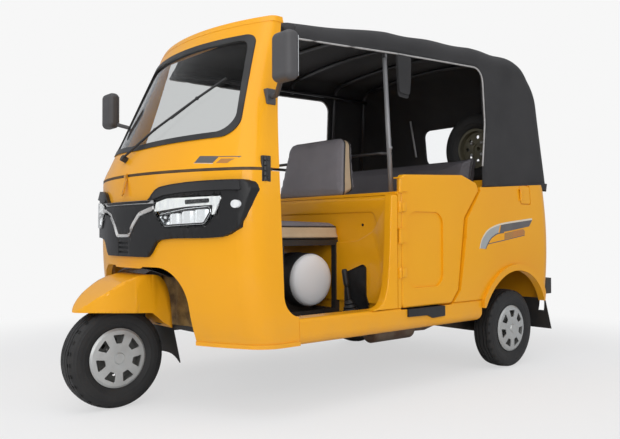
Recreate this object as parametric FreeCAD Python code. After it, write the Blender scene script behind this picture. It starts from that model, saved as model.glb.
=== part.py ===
import FreeCAD, Part
import math
import os

# Auto rickshaw: one front wheel, two rear wheels, steel body with a fabric hood.
# Frame: +Z up, the front of the vehicle points along -Y, its left side is +X,
# and the origin lies on the ground below the middle of the bounding box. Millimetres.

# Main sizes
overall_length = 2645.0
overall_width = 1330.0
overall_height = 1740.0
wheelbase = 1985.0
tyre_radius = 208.0
tyre_width = 112.0
rear_track_half = 568.0
front_axle_y = tyre_radius - overall_length / 2
rear_axle_y = front_axle_y + wheelbase
axle_z = tyre_radius
body_half = 640.0
flare_half = overall_width / 2
rear_end_y = overall_length / 2
overrun = 60.0
seat_gap = 0.3
panel_gap = 5.0

# Wheels
rim_width = 88.0
rim_flange = 7.0
rim_wall = 4.0
tyre_bead_radius = 108.0
tyre_tread_half = 44.0
cover_radius = 122.0
cover_dome = 11.0
cover_thickness = 4.0
cover_standoff = 49.0
cover_skirt_radius = 107.0
cover_skirt_wall = 3.0
cover_boss_radius = 24.0
cover_boss_height = 6.0
cover_windows = 7
cover_window_inner = 62.0
cover_window_outer = 100.0
cover_window_half_angle = 15.0
hub_radius = 30.0
axle_radius = 12.0
axle_play = 0.05
drum_radius = 88.0
drum_width = 36.0
drum_gap = 6.0

# Steering
rake_deg = 22.0
steer_foot_y = -1060.0
column_radius = 21.0
head_radius = 32.0
head_length = 160.0
head_z = 655.0
column_play = 0.05
fork_crown_z = 474.0
fork_arm_x = -92.0
fork_arm_half = 13.0
fork_arm_depth = 44.0
fork_pivot_y = -985.0
fork_pivot_z = 214.0
link_half = 11.0
link_height = 40.0
bar_z = 985.0
bar_half = 335.0
bar_sweep = 78.0
bar_rise = 26.0
bar_radius = 13.0
grip_length = 120.0
grip_radius = 19.0
bar_cowl_half = 120.0
bar_cowl_depth = 90.0
bar_cowl_height = 64.0

# Front mudguard and its rubber flap
guard_half = 125.0
guard_thickness = 4.0
guard_length = 449.0
guard_height = 230.0
guard_rear_y = -836.0
guard_base_z = 319.0
guard_crown = 62.0
guard_side_shares = [(1.0, 0.41), (0.915, 0.665), (0.80, 0.825), (0.655, 0.945), (0.50, 1.0), (0.33, 1.0),
                     (0.20, 0.93), (0.10, 0.76), (0.035, 0.45), (0.0, 0.0)]
guard_low_shares = [(0.14, 0.10), (0.36, 0.31), (0.62, 0.345)]
guard_plan_shares = [(0.0, 0.93), (0.30, 1.0), (0.62, 0.97), (0.85, 0.72), (0.965, 0.34)]
front_flap_width = 150.0
front_flap_height = 190.0
front_flap_thickness = 5.0
front_flap_lean = 48.0

# Cowl: the bowed front of the body
bow_radius = 1110.0
cowl_corner = 62.0
cowl_wall = 26.0
seam_z = 970.0
seam_gap = 12.0
shield_low_z = 279.0
shield_front_y = -1055.0
shield_low_back = 62.0
header_z = 1628.0
header_half = 470.0
header_corner = 20.0
header_front_y = -735.0
header_back_y = -585.0
header_depth = 30.0
brow_depth = 14.0
brow_height = 26.0
pillar_low_y = -735.0
pillar_top_y = -590.0
cowl_low_half = 638.0
arch_half = 366.0
arch_top_z = 583.0
arch_corner = 150.0
opening_rim = 16.0
opening_bend_share = 0.45
front_split_share = 1.6

# Windscreen
screen_low_z = 1076.0
screen_top_z = 1550.0
screen_low_half = 538.0
screen_top_half = 432.0
screen_corner = 62.0
screen_dip_share = 0.35
gasket_width = 24.0
gasket_proud = 5.0
glass_thickness = 6.0
glass_set_in = 6.0
wiper_pivot_x = -80.0
wiper_pivot_z = 1040.0
blade_low_x = 168.0
blade_low_z = 1201.0
blade_high_x = 386.0
blade_high_z = 1351.0
wiper_stand = 14.0
wiper_arm_half = 5.0
wiper_rest = 5.0
wiper_hub_radius = 14.0

# Lamp mask, its silver strip and the headlamps
mask_top_z = 912.0
mask_half = 634.0
mask_low_z = 640.0
mask_proud = 16.0
mask_outline_shares = [(0.0, 0.90), (0.28, 0.90), (0.42, 0.975), (0.97, 1.0), (1.0, 0.93), (0.955, 0.42),
                       (0.86, 0.33), (0.68, 0.27), (0.40, 0.235), (0.27, 0.0), (0.0, 0.0)]
mask_round = 26.0
strip_width = 15.0
strip_proud = 6.0
strip_shares = [(0.0, 0.262), (0.073, 0.262), (0.139, 0.43), (0.211, 0.585), (0.42, 0.66)]
strip_top_shares = [(0.0, 0.757), (0.45, 0.757)]
lamp_inner_x = 226.0
lamp_outer_x = 548.0
lamp_low_z = 744.0
lamp_top_z = 866.0
lamp_round = 12.0
lamp_outline_shares = [(0.0, 0.52), (0.18, 0.0), (0.78, 0.03), (0.925, 0.42), (1.0, 1.0), (0.2, 0.96),
                       (0.03, 0.84)]
lamp_depth = 60.0
lamp_wall = 5.0
lamp_proud = 6.0
lamp_gap = 1.0
side_lamp_x = 592.0
side_lamp_z = 830.0
side_lamp_radius = 15.0
louvre_count = 3
louvre_half = 46.0
louvre_height = 7.0
louvre_pitch = 15.0
louvre_depth = 8.0

# Dashboard
dash_low_z = 755.0
dash_top_z = 925.0
dash_back_y = -870.0
dash_half = 560.0
dash_round = 30.0
meter_radius = 52.0
meter_height = 22.0

# Floor, sills and underframe
sill_inner_x = 560.0
floor_top_z = 340.0
floor_thickness = 14.0
floor_front_y = -640.0
kick_y = -735.0
kick_low_z = 460.0
kick_top_z = 612.0
floor_back_y = 262.0
floor_half = sill_inner_x - seat_gap
sill_low_z = 276.0
sill_top_z = 388.0
sill_round = 42.0
sill_back_y = 574.0
rail_x = 250.0
rail_half = 24.0
rail_low_z = 254.0
rail_top_z = floor_top_z - floor_thickness - seat_gap
rail_front_y = -700.0
rail_back_y = 1215.0
cross_half = 20.0
cross_places_y_shares = [0.0, 0.335, 0.572, 1.0]
jack_pad_radius = 32.0
jack_pad_height = 10.0
tow_eye_radius = 10.0
tow_eye_outer = 22.0
tow_eye_thickness = 14.0

# Partition behind the driver
bulk_y = -58.0
bulk_thickness = 46.0
bulk_top_z = 893.0
bulk_flange = 14.0
bulk_flange_depth = 96.0
recess_inner_x = 330.0
recess_outer_x = 520.0
recess_low_z = 585.0
recess_top_z = 812.0
recess_depth = 14.0
recess_round = 26.0

# Passenger door
door_front_y = -32.0
door_length = 590.0
door_low_z = 380.0
door_height = 628.0
door_thickness = 30.0
door_outline_shares = [(0.0, 0.0), (0.612, 0.0), (0.708, 0.098), (0.797, 0.66), (1.0, 0.885), (0.965, 0.945),
                       (0.765, 1.0), (0.0, 0.965)]
door_corner = 26.0
door_round = 10.0
door_relief_depth = 8.0
door_relief_shares = [(0.06, 0.14), (0.50, 0.14), (0.50, 0.70), (0.06, 0.70)]
door_relief_round = 60.0
hinge_radius = 9.0
hinge_pin_radius = 4.0
hinge_height = 58.0
hinge_axis_y = -45.0
hinge_axis_x = 640.0
hinge_low_z = 707.0
hinge_high_z = 937.0
hinge_play = 0.05
hinge_leaf = 5.0
hinge_leaf_length = 34.0
hinge_ear = 6.0

# Rear body
belt_front_z = 954.0
belt_back_z = 1000.0
rear_low_z = 340.0
rear_back_y = 1282.0
rear_corner = 118.0
rear_wall = 26.0
rear_bulge = 18.0
side_front_y = door_front_y - panel_gap + seat_gap
arch_radius = 306.0
arch_z = 214.0
arch_flare = 16.0
arch_flare_width = 34.0
quarter_split_x = 470.0
deck_z = 1000.0
deck_thickness = 14.0
hatch_half = 370.0
hatch_low_z = 480.0
hatch_top_z = 930.0
hatch_round = 40.0
hatch_face_y = 1266.0
hatch_hinge_radius = 8.0
hatch_hinge_x = 240.0
hatch_hinge_length = 50.0
hatch_leaf = 24.0
hatch_slots = 5
hatch_slot_pitch = 32.0
hatch_slot_height = 12.0
hatch_slot_half = 220.0
plate_hole_radius = 3.2
plate_hole_pitch = 160.0
fuel_y = 930.0
fuel_length = 94.0
fuel_low_z = 880.0
fuel_height = 96.0
fuel_thickness = 10.0
fuel_round = 14.0
fuel_axis_x = 650.5
fuel_axis_y = 925.0
fuel_barrel_radius = 5.0
fuel_pin_radius = 2.2
fuel_barrel_length = 52.0
bumper_low_z = 372.0
bumper_height = 88.0
bumper_half = 622.0
bumper_depth = 38.0
bumper_bend = 70.0
tail_lamp_x = 545.0
tail_lamp_half = 42.0
tail_lamp_low_z = 560.0
tail_lamp_height = 170.0
tail_lamp_proud = 14.0
rear_flap_half = 78.0
rear_flap_height = 178.0
rear_flap_thickness = 5.0
rear_flap_y = 1172.0
rear_flap_lean = 66.0
rear_flap_top_z = 352.0

# Seats
cushion_half = 268.0
cushion_length = 390.0
cushion_low_z = 690.0
cushion_height = 84.0
cushion_round = 26.0
backrest_low_half = 245.0
backrest_top_half = 212.0
backrest_low_z = bulk_top_z + bulk_flange + seat_gap
backrest_height = 315.0
backrest_thickness = 74.0
backrest_lean = 56.0
seat_leg_x = 242.0
seat_rail_half = 14.0
cylinder_radius = 120.0
cylinder_half = 268.0
cylinder_y = -246.0
cylinder_z = 500.0
cylinder_dome = 70.0
valve_radius = 17.0
valve_length = 40.0
cradle_width = 40.0
cradle_wall = 8.0
cradle_x = 150.0
bench_half = 548.0
bench_front_y = 176.0
bench_low_z = 672.0
bench_height = 110.0
bench_length = 400.0
bench_back_low_y = 560.0
bench_back_z = bench_low_z + bench_height + seat_gap
bench_back_height = 352.0
bench_back_thickness = 92.0
bench_back_lean = 92.0
bench_skirt = 16.0
bench_back_foot_share = 0.6
bench_back_step = bench_back_lean + bench_back_thickness * (bench_back_foot_share - 1)
bench_back_reach = bench_back_step * (deck_z - bench_back_z) / bench_back_height
deck_front_y = bench_back_low_y + bench_back_thickness + seat_gap + bench_back_reach
spare_x = 350.0
spare_y = 972.0

# Hood and its tubes
hood_front_y = header_back_y + seat_gap
hood_mid_y = 10.0
hood_back_y = 620.0
hood_top_front_z = 1652.0
hood_top_mid_z = 1712.0
hood_shoulder_front = 500.0
hood_shoulder_mid = 562.0
hood_shoulder_back = 588.0
hood_low_half = 628.0
hood_front_spread = 0.3
hood_thickness = 9.0
hood_drop = 44.0
hood_round = 70.0
hood_corner = 85.0
hood_knee_y = 1205.0
hood_knee_z = 1525.0
hood_crest_y = 1010.0
hood_foot_y = 1272.0
hood_rail_front_z = 1534.0
hood_rail_back_z = 1582.0
hood_opening_back_y = 652.0
hood_opening_foot_y = 600.0
hood_opening_round = 70.0
window_half = 262.0
window_low_z = 1168.0
window_top_z = 1408.0
window_round = 52.0
window_thickness = 3.0
tube_radius = 11.0
tube_gap = 1.5
bow_slack = 5.0
post_x = 580.0
post_y = -36.0
rail_bar_z = 1112.0

# Mechanical parts below
engine_half = 150.0
engine_front_y = 770.0
engine_back_y = 1130.0
engine_low_z = 196.0
engine_top_z = 590.0
engine_round = 12.0
shaft_radius = 14.0
arm_pivot_y = 470.0
arm_pivot_z = 268.0
arm_x = 400.0
arm_half = 26.0
arm_height = 52.0
knuckle_half = 34.0
rear_damper_radius = 26.0
rear_damper_x = 400.0
rear_damper_top_z = 560.0
rear_damper_y = 800.0
silencer_radius = 48.0
silencer_length = 300.0
silencer_y = 202.0
silencer_z = 228.0
silencer_x = 344.0
silencer_pipe = 17.0

# Mirrors and small pieces
mirror_x = 742.0
mirror_y = -790.0
mirror_z = 1372.0
mirror_width = 112.0
mirror_height = 186.0
mirror_depth = 62.0
mirror_round = 26.0
mirror_arm_radius = 10.0
mirror_foot_z = 1262.0
mirror_foot_height = 64.0
mirror_foot_depth = 46.0
mirror_foot_thickness = 22.0
step_front_y = 2.0
step_length = 262.0
step_low_z = 322.0
step_height = 72.0
step_proud = 10.0
brake_x = 392.0
brake_y = -150.0
brake_boot_half = 38.0
brake_boot_height = 66.0
brake_lever_radius = 9.0
brake_lever_reach = 150.0
brake_lever_rise = 168.0
brake_grip_radius = 14.0

bodies = {}


# Helpers: solids from corners, rods, outlines and paths
def vec(x, y, z):
    return FreeCAD.Vector(x, y, z)


def box(x0, x1, y0, y1, z0, z1):
    return Part.makeBox(x1 - x0, y1 - y0, z1 - z0, vec(x0, y0, z0))


def rod(start, end, radius):
    along = end - start
    return Part.makeCylinder(radius, along.Length, start, along)


def mirror_x0(shape):
    return shape.mirror(vec(0, 0, 0), vec(1, 0, 0))


def both_sides(shape):
    return Part.makeCompound([shape, mirror_x0(shape)])


def corner_point(before, corner, after, radius):
    to_before = (before - corner)
    to_after = (after - corner)
    room = 0.49 * min(to_before.Length, to_after.Length)
    to_before.normalize()
    to_after.normalize()
    half = math.acos(max(-1.0, min(1.0, to_before.dot(to_after)))) / 2
    if math.pi / 2 - half < 0.01:
        return None
    reach = min(radius / math.tan(half), room)
    real = reach * math.tan(half)
    middle = to_before + to_after
    middle.normalize()
    return (corner + to_before * reach, corner + middle * (reach / math.cos(half) - real),
            corner + to_after * reach)


def path_edges(points, radii, closed):
    count = len(points)
    if not isinstance(radii, (list, tuple)):
        radii = [radii] * count
    corners = []
    for i in range(count):
        ends = (i == 0 or i == count - 1) and not closed
        bend = None
        if not ends and radii[i] > 0:
            bend = corner_point(points[i - 1], points[i], points[(i + 1) % count], radii[i])
        corners.append(bend)
    edges = []
    for i in range(count if closed else count - 1):
        j = (i + 1) % count
        start = corners[i][2] if corners[i] else points[i]
        end = corners[j][0] if corners[j] else points[j]
        if (end - start).Length > overrun * 1e-4:
            edges.append(Part.LineSegment(start, end).toShape())
        if corners[j] and (closed or j < count - 1):
            edges.append(Part.Arc(corners[j][0], corners[j][1], corners[j][2]).toShape())
    return edges


def plate(points, radii, push):
    face = Part.Face(Part.Wire(path_edges(points, radii, True)))
    return face.extrude(push)


def plate_yz(points, radii, x0, x1):
    return plate([vec(x0, y, z) for y, z in points], radii, vec(x1 - x0, 0, 0))


def plate_xz(points, radii, y0, y1):
    return plate([vec(x, y0, z) for x, z in points], radii, vec(0, y1 - y0, 0))


def plate_xy(points, radii, z0, z1):
    return plate([vec(x, y, z0) for x, y in points], radii, vec(0, 0, z1 - z0))


def along_edges(edges, radius):
    pieces = []
    for edge in edges:
        start = edge.valueAt(edge.FirstParameter)
        tangent = edge.tangentAt(edge.FirstParameter)
        if isinstance(edge.Curve, Part.Circle):
            ring = Part.Face(Part.Wire(Part.makeCircle(radius, start, tangent)))
            turn = math.degrees(edge.LastParameter - edge.FirstParameter)
            pieces.append(ring.revolve(edge.Curve.Center, edge.Curve.Axis, turn))
        else:
            pieces.append(Part.makeCylinder(radius, edge.Length, start, tangent))
    return fuse(pieces)


def pipe(points, radius, bend):
    return along_edges(path_edges(points, bend, False), radius)


def turned(profile, centre, axis):
    face = Part.Face(Part.Wire(path_edges(profile, 0, True)))
    return face.revolve(centre, axis, 360)


def fuse(shapes):
    whole = shapes[0].multiFuse(shapes[1:]) if len(shapes) > 1 else shapes[0]
    return whole.removeSplitter()


def soften(shape, edges, radius):
    done = shape.makeFillet(radius, edges) if edges else shape
    return done if done.isValid() and done.Volume > 0 else shape


def edges_along(shape, direction):
    found = []
    for edge in shape.Edges:
        if isinstance(edge.Curve, Part.Line):
            along = abs(edge.tangentAt(edge.FirstParameter).dot(direction))
            if along > 0.9999:
                found.append(edge)
    return found


def soft_box(x0, x1, y0, y1, z0, z1, radius):
    solid = box(x0, x1, y0, y1, z0, z1)
    return solid.makeFillet(radius, solid.Edges)


def share_points(shares, u0, du, v0, dv):
    return [(u0 + u * du, v0 + v * dv) for u, v in shares]


def span(low, high, share):
    return low + (high - low) * share


def keep(name, shape, minimum=1):
    solids = [s for s in shape.Solids if s.Volume > 0]
    if not solids:
        raise RuntimeError(name + " has no solid")
    shape = solids[0] if len(solids) == 1 else Part.makeCompound(solids)
    bodies[name] = shape


# Cowl surface: plan sections, bowed in front, straight at the sides
def cowl_section(z, half, centre_y, rear_y, inset, corner):
    half = half - inset
    centre_y = centre_y + inset
    side = half - corner
    radius = bow_radius - inset
    side_y = centre_y + radius - math.sqrt(radius * radius - side * side)
    slope = side / math.sqrt(radius * radius - side * side)
    vertex = vec(half, side_y + corner * slope, z)
    near = vec(side, side_y, z)
    reach = (near - vertex).Length
    far = vertex + vec(0, reach, 0)
    half_angle = math.acos(((near - vertex).normalize()).dot(vec(0, 1, 0))) / 2
    middle = (near - vertex).normalize() + vec(0, 1, 0)
    middle.normalize()
    mid = vertex + middle * (reach / math.cos(half_angle) - reach * math.tan(half_angle))

    def flip(p):
        return vec(-p.x, p.y, p.z)

    back = vec(half, rear_y, z)
    edges = [Part.Arc(flip(near), vec(0, centre_y, z), near).toShape(),
             Part.Arc(near, mid, far).toShape(),
             Part.LineSegment(far, back).toShape(),
             Part.LineSegment(back, flip(back)).toShape(),
             Part.LineSegment(flip(back), flip(far)).toShape(),
             Part.Arc(flip(far), flip(mid), flip(near)).toShape()]
    return Part.Wire(edges)


screen_shares = [0.0, 0.24, 0.55, 0.90, 1.0]
lower_level_shares = [0.0, 0.25, 0.55, 1.0]


def upper_half(share):
    return span(cowl_low_half, header_half,
                share) + (header_half - cowl_low_half) * 0.10 * math.sin(math.pi * share)


def upper_solid(inset, back, top_cut):
    sections = []
    for share in screen_shares:
        z = span(seam_z, header_z - top_cut, share)
        centre = span(shield_front_y, header_front_y, share)
        rear = back if back is not None else span(pillar_low_y, pillar_top_y, share)
        corner = span(cowl_corner, header_corner, share)
        sections.append(cowl_section(z, upper_half(share), centre, rear, inset, corner))
    return Part.makeLoft(sections, True, False)


def lower_solid(inset, back, reach):
    sections = []
    top = seam_z - seam_gap
    for share in lower_level_shares:
        z = span(shield_low_z, top, share)
        lean = max(0.0, 1.0 - share / lower_level_shares[2])
        centre = shield_front_y + shield_low_back * lean * lean
        sections.append(cowl_section(z, cowl_low_half, centre, back, inset, cowl_corner))
    solid = Part.makeLoft(sections, True, False)
    if reach > 0:
        low = Part.Face(sections[0]).extrude(vec(0, 0, -reach))
        high = Part.Face(sections[-1]).extrude(vec(0, 0, reach))
        solid = solid.multiFuse([low, high])
    return solid


# Driver's side opening, seen from the side: shared by shield, pillars and sill
def driver_opening(grow):
    low_front_y = pillar_low_y
    points = [(low_front_y - grow, seam_z),
              (low_front_y + cowl_corner * opening_bend_share - grow, sill_top_z - grow),
              (bulk_y, sill_top_z - grow), (bulk_y, header_z), (pillar_top_y - grow, header_z)]
    return plate_yz(points, [0, cowl_corner * 1.5, 0, 0, 0], -body_half - overrun, body_half + overrun)


# Lower front shield with its wheel arch
def make_front_shield():
    back = bulk_y - overrun
    shell = lower_solid(0, back, 0).cut(lower_solid(cowl_wall, back + overrun, overrun))
    front_only = box(-body_half - overrun, body_half + overrun, -overall_length, front_split(), 0,
                     overall_height)
    shell = shell.common(front_only)
    shell = shell.cut(driver_opening(0))
    arch = plate_xz([(-arch_half, shield_low_z - overrun), (arch_half, shield_low_z - overrun),
                     (arch_half, arch_top_z), (-arch_half, arch_top_z)],
                    [0, 0, arch_corner, arch_corner], -overall_length, pillar_low_y)
    shell = shell.cut(arch)
    lip_ring = lip_block(-opening_rim / 2, 0).cut(lip_block(cowl_wall / 2, overrun))
    lip = lip_ring.common(front_only).cut(arch)
    shell = fuse([shell, lip])
    for side in (-1, 1):
        shell = shell.cut(lamp_block(side, lamp_gap * 2, lamp_depth + overrun, overrun))
    return shell


def lip_block(inset, reach):
    low = shield_low_z - reach
    wire = cowl_section(low, cowl_low_half, shield_front_y + shield_low_back, bulk_y + reach, inset,
                        cowl_corner)
    return Part.Face(wire).extrude(vec(0, 0, opening_rim + reach * 2))


def lamp_block(side, grow, depth, proud):
    x0 = lamp_inner_x - grow
    x1 = lamp_outer_x + grow
    z0 = lamp_low_z - grow
    z1 = lamp_top_z + grow
    points = [(side * span(x0, x1, u), span(z0, z1, v)) for u, v in lamp_outline_shares]
    return plate_xz(points, lamp_round, shield_front_y - proud - overrun, shield_front_y + depth + overrun)


def surface_skin(out, depth):
    return lower_solid(-out, bulk_y, 0).cut(lower_solid(depth, bulk_y + overrun, overrun))


def mask_points():
    right = [(x * mask_half, span(mask_low_z, mask_top_z, z)) for x, z in mask_outline_shares if x > 0]
    return right + [(-x, z) for x, z in reversed(right)]


def make_lamp_mask():
    skin = surface_skin(mask_proud, -seat_gap)
    blank = plate_xz(mask_points(), mask_round, -overall_length, pillar_low_y - cowl_corner)
    mask = skin.common(blank)
    for side in (-1, 1):
        mask = mask.cut(lamp_block(side, lamp_gap, lamp_depth, overrun))
        mask = mask.cut(side_lamp_block(side, lamp_gap))
    for i in range(louvre_count):
        z = mask_low_z + louvre_pitch * (i + 1)
        y0 = shield_front_y - mask_proud - overrun
        y1 = shield_front_y - mask_proud + louvre_depth
        mask = mask.cut(box(-louvre_half, louvre_half, y0, y1, z - louvre_height / 2, z + louvre_height / 2))
    return mask.cut(strip_band(seat_gap).common(surface_skin(mask_proud * 2, -mask_proud / 2)))


def strip_band(grow):
    wide = strip_width / 2 + grow
    blanks = []
    for shares in (strip_shares, strip_top_shares):
        points = [(x * mask_half, span(mask_low_z, mask_top_z, z)) for x, z in shares]
        upper = [(x, z + wide) for x, z in points]
        lower = [(x, z - wide) for x, z in reversed(points)]
        blank = plate_xz(upper + lower, 0, -overall_length, pillar_low_y - cowl_corner)
        blanks += [blank, mirror_x0(blank)]
    return fuse(blanks)


def make_mask_strip():
    skin = surface_skin(mask_proud + strip_proud, -mask_proud / 2 - seat_gap)
    strip = strip_band(0).common(skin)
    for side in (-1, 1):
        strip = strip.cut(lamp_block(side, lamp_gap, lamp_depth, overrun))
    return strip


def side_lamp_block(side, grow):
    return Part.makeCylinder(side_lamp_radius + grow, overall_length,
                             vec(side * side_lamp_x, -overall_length, side_lamp_z),
                             vec(0, 1, 0))


def make_side_lamps():
    skin = surface_skin(mask_proud + lamp_proud, -mask_proud / 2)
    front = box(-overall_width, overall_width, -overall_length, pillar_low_y - cowl_corner, 0,
                overall_height)
    skin = skin.common(front)
    return Part.makeCompound([side_lamp_block(side, 0).common(skin) for side in (-1, 1)])


def make_headlamps():
    lamps = []
    for side in (-1, 1):
        blank = lamp_block(side, 0, lamp_depth, overrun)
        lens = blank.common(surface_skin(mask_proud + lamp_proud, -mask_proud / 2))
        bowl = blank.common(surface_skin(mask_proud / 2, lamp_depth - mask_proud / 2))
        hollow = lamp_block(side, -lamp_wall, lamp_depth, overrun)
        hollow = hollow.common(surface_skin(mask_proud, lamp_depth - lamp_wall * 2 - mask_proud / 2))
        lamps.append(fuse([lens, bowl]).cut(hollow.cut(lens)))
    return Part.makeCompound(lamps)


# Upper cowl: pillars, panel below the glass and roof header
def screen_plate(grow, y0, y1):
    low = screen_low_z - grow
    top = screen_top_z + grow
    side_z = low + screen_corner * screen_dip_share
    points = [(-screen_low_half - grow, side_z), (0, low), (screen_low_half + grow, side_z),
              (screen_top_half + grow, top), (-screen_top_half - grow, top)]
    return plate_xz(points, [screen_corner, 0, screen_corner, screen_corner, screen_corner], y0, y1)


def make_windscreen_frame():
    outer = upper_solid(0, None, 0)
    inner = upper_solid(cowl_wall, pillar_top_y + overrun * 3, header_depth)
    shell = outer.cut(inner)
    low = cowl_section(header_z - brow_height, header_half + brow_depth / 2, header_front_y - brow_depth,
                       header_back_y, 0, header_corner)
    top = cowl_section(header_z, header_half, header_front_y, header_back_y, 0, header_corner)
    shell = fuse([shell, Part.makeLoft([low, top], True, True)])
    return shell.cut(screen_plate(0, -overall_length, header_back_y - header_depth))


def make_windscreen_gasket():
    ring = screen_plate(-seat_gap, -overall_length,
                        0).cut(screen_plate(-gasket_width, -overall_length * 1.01, overrun))
    skin = upper_solid(-gasket_proud, None, 0).cut(upper_solid(cowl_wall, overrun, 0))
    ring = ring.common(skin)
    groove = screen_plate(-gasket_width + glass_set_in * 2, -overall_length, 0)
    groove = groove.common(upper_solid(glass_set_in, None,
                                       0).cut(upper_solid(glass_set_in + glass_thickness, overrun, 0)))
    return ring.cut(groove)


def make_windscreen_glass():
    blank = screen_plate(-gasket_width + glass_set_in * 2 - seat_gap, -overall_length, 0)
    skin = upper_solid(glass_set_in + seat_gap, None, 0)
    return blank.common(skin.cut(upper_solid(glass_set_in + glass_thickness - seat_gap, overrun, 0)))


def screen_point(x, z, out):
    share = (z - seam_z) / (header_z - seam_z)
    centre = span(shield_front_y, header_front_y, share)
    return vec(x, centre + bow_radius - math.sqrt(bow_radius ** 2 - x * x) - out, z)


def make_wiper():
    rake = vec(0, seam_z - header_z, header_front_y - shield_front_y).normalize()
    lift = wiper_stand + wiper_arm_half
    foot = screen_point(wiper_pivot_x, wiper_pivot_z, seat_gap * 5)
    top = foot + rake * lift
    rest = wiper_arm_half + wiper_rest
    low = screen_point(blade_low_x, blade_low_z, rest)
    high = screen_point(blade_high_x, blade_high_z, rest)
    middle_x = (blade_low_x + blade_high_x) / 2
    middle_z = (blade_low_z + blade_high_z) / 2
    middle = screen_point(middle_x, middle_z, rest)
    knee = screen_point((wiper_pivot_x + middle_x) / 2, (wiper_pivot_z + middle_z) / 2, lift)
    pieces = [rod(foot, foot + rake * (lift + wiper_arm_half), wiper_hub_radius),
              rod(top, knee, wiper_arm_half),
              Part.makeSphere(wiper_arm_half * 1.3, knee), rod(knee, middle, wiper_arm_half),
              Part.makeSphere(wiper_arm_half * 1.6, middle), rod(low, middle, wiper_arm_half),
              rod(middle, high, wiper_arm_half)]
    return fuse(pieces)


# Dashboard with a round instrument
def make_dashboard():
    inside = lower_solid(cowl_wall + seat_gap, dash_back_y, 0)
    tray = inside.common(box(-dash_half, dash_half, -overall_length, dash_back_y, dash_low_z, dash_top_z))
    for side in (-1, 1):
        tray = tray.cut(lamp_block(side, lamp_gap * 4, lamp_depth * 1.5, overrun))
    pocket = box(-dash_half + dash_round, -lamp_inner_x, dash_back_y - dash_round, dash_back_y + overrun,
                 dash_low_z + dash_round, dash_top_z - dash_round)
    tray = tray.cut(pocket).cut(mirror_x0(pocket))
    meter = Part.makeCone(meter_radius, meter_radius * 0.8, meter_height,
                          vec(0, dash_back_y - meter_radius - dash_round / 2, dash_top_z))
    return fuse([tray, meter])


# Floor pan, turned up in front to close the wheel housing
def make_floor_pan():
    t = floor_thickness
    line = [(floor_back_y, floor_top_z), (floor_front_y, floor_top_z), (kick_y, kick_low_z),
            (kick_y, kick_top_z + t),
            (kick_y - t, kick_top_z + t), (kick_y - t, kick_low_z - t / 2),
            (floor_front_y - t / 2, floor_top_z - t),
            (floor_back_y, floor_top_z - t)]
    pan = plate_yz(line, 0, -floor_half, floor_half)
    shelf_solid = lower_solid(cowl_wall + seat_gap, kick_y - t, 0)
    shelf = shelf_solid.common(box(-floor_half, floor_half, -overall_length, kick_y - t, kick_top_z,
                                   kick_top_z + t))
    pan = fuse([pan, shelf])
    low, high = steer_point(kick_top_z - overrun), steer_point(kick_top_z + overrun)
    return pan.cut(rod(low, high, head_radius + seat_gap))


def steer_point(z):
    return vec(0, steer_foot_y + (z - axle_z) * math.tan(math.radians(rake_deg)), z)


# Underframe: two rails, cross members, outriggers and the steering head
def make_underframe():
    gap = seat_gap
    eye_z = rail_low_z + rail_half
    rail = box(rail_x - rail_half, rail_x + rail_half, rail_front_y, rail_back_y, rail_low_z, rail_top_z)
    rear_pad_y = rear_axle_y - rear_damper_top_z * 0.55
    for pad_y in (rear_pad_y, rail_front_y * 0.7):
        rail = rail.fuse(Part.makeCylinder(jack_pad_radius, jack_pad_height,
                                           vec(rail_x, pad_y, rail_low_z - jack_pad_height)))
    pivot = rod(vec(rail_x + rail_half, arm_pivot_y, arm_pivot_z),
                vec(arm_x - arm_half - gap, arm_pivot_y, arm_pivot_z),
                arm_half * 0.8)
    post = box(rail_x - rail_half, rail_x + rail_half, rear_damper_y - cross_half,
               rear_damper_y + cross_half,
               rail_top_z + gap, rear_damper_top_z - gap)
    pieces = [fuse([rail, pivot]), post]
    inner = rail_x - rail_half - gap
    outer = rail_x + rail_half + gap
    middle = []
    for share in cross_places_y_shares:
        y = span(rail_front_y + cross_half, rail_back_y - cross_half, share)
        cross = box(-inner, inner, y - cross_half, y + cross_half, rail_low_z + cross_half / 2, rail_top_z)
        if share == cross_places_y_shares[-1]:
            eye_y = rail_back_y + tow_eye_outer * 0.6
            eye = Part.makeCylinder(tow_eye_outer, tow_eye_thickness,
                                    vec(0, eye_y, eye_z - tow_eye_thickness / 2))
            hole = Part.makeCylinder(tow_eye_radius, overrun, vec(0, eye_y, eye_z - overrun / 2))
            cross = fuse([cross, eye]).cut(hole)
        middle.append(cross)
        if 0 < share < 0.65:
            pieces.append(box(outer, sill_inner_x, y - cross_half, y + cross_half,
                              rail_low_z + cross_half / 2,
                              rail_top_z))
    top = box(-rear_damper_x - rear_damper_radius, rear_damper_x + rear_damper_radius,
              rear_damper_y - cross_half,
              rear_damper_y + cross_half, rear_damper_top_z, rear_damper_top_z + cross_half)
    top = top.cut(box(-engine_half - gap, engine_half + gap, engine_front_y, engine_back_y, 0,
                      engine_top_z + gap))
    return Part.makeCompound(middle + pieces + [mirror_x0(piece) for piece in pieces] + top.Solids)


def make_steering_head():
    head = rod(steer_point(head_z - head_length / 2), steer_point(head_z + head_length / 2), head_radius)
    hoop = []
    start_y = rail_front_y - seat_gap
    for side in (-1, 1):
        knee = vec(side * rail_x, kick_y - floor_thickness - head_radius * 0.7, kick_low_z)
        top = steer_point(head_z - head_length * 0.30)
        hoop.append(pipe([vec(side * rail_x, start_y, rail_low_z + rail_half),
                          vec(side * rail_x, start_y - cross_half * 2, rail_low_z + rail_half), knee, top],
                         rail_half * 0.75, cross_half))
    head = fuse([head] + hoop)
    return head.cut(rod(steer_point(head_z - head_length), steer_point(head_z + head_length),
                        column_radius + column_play))


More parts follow.
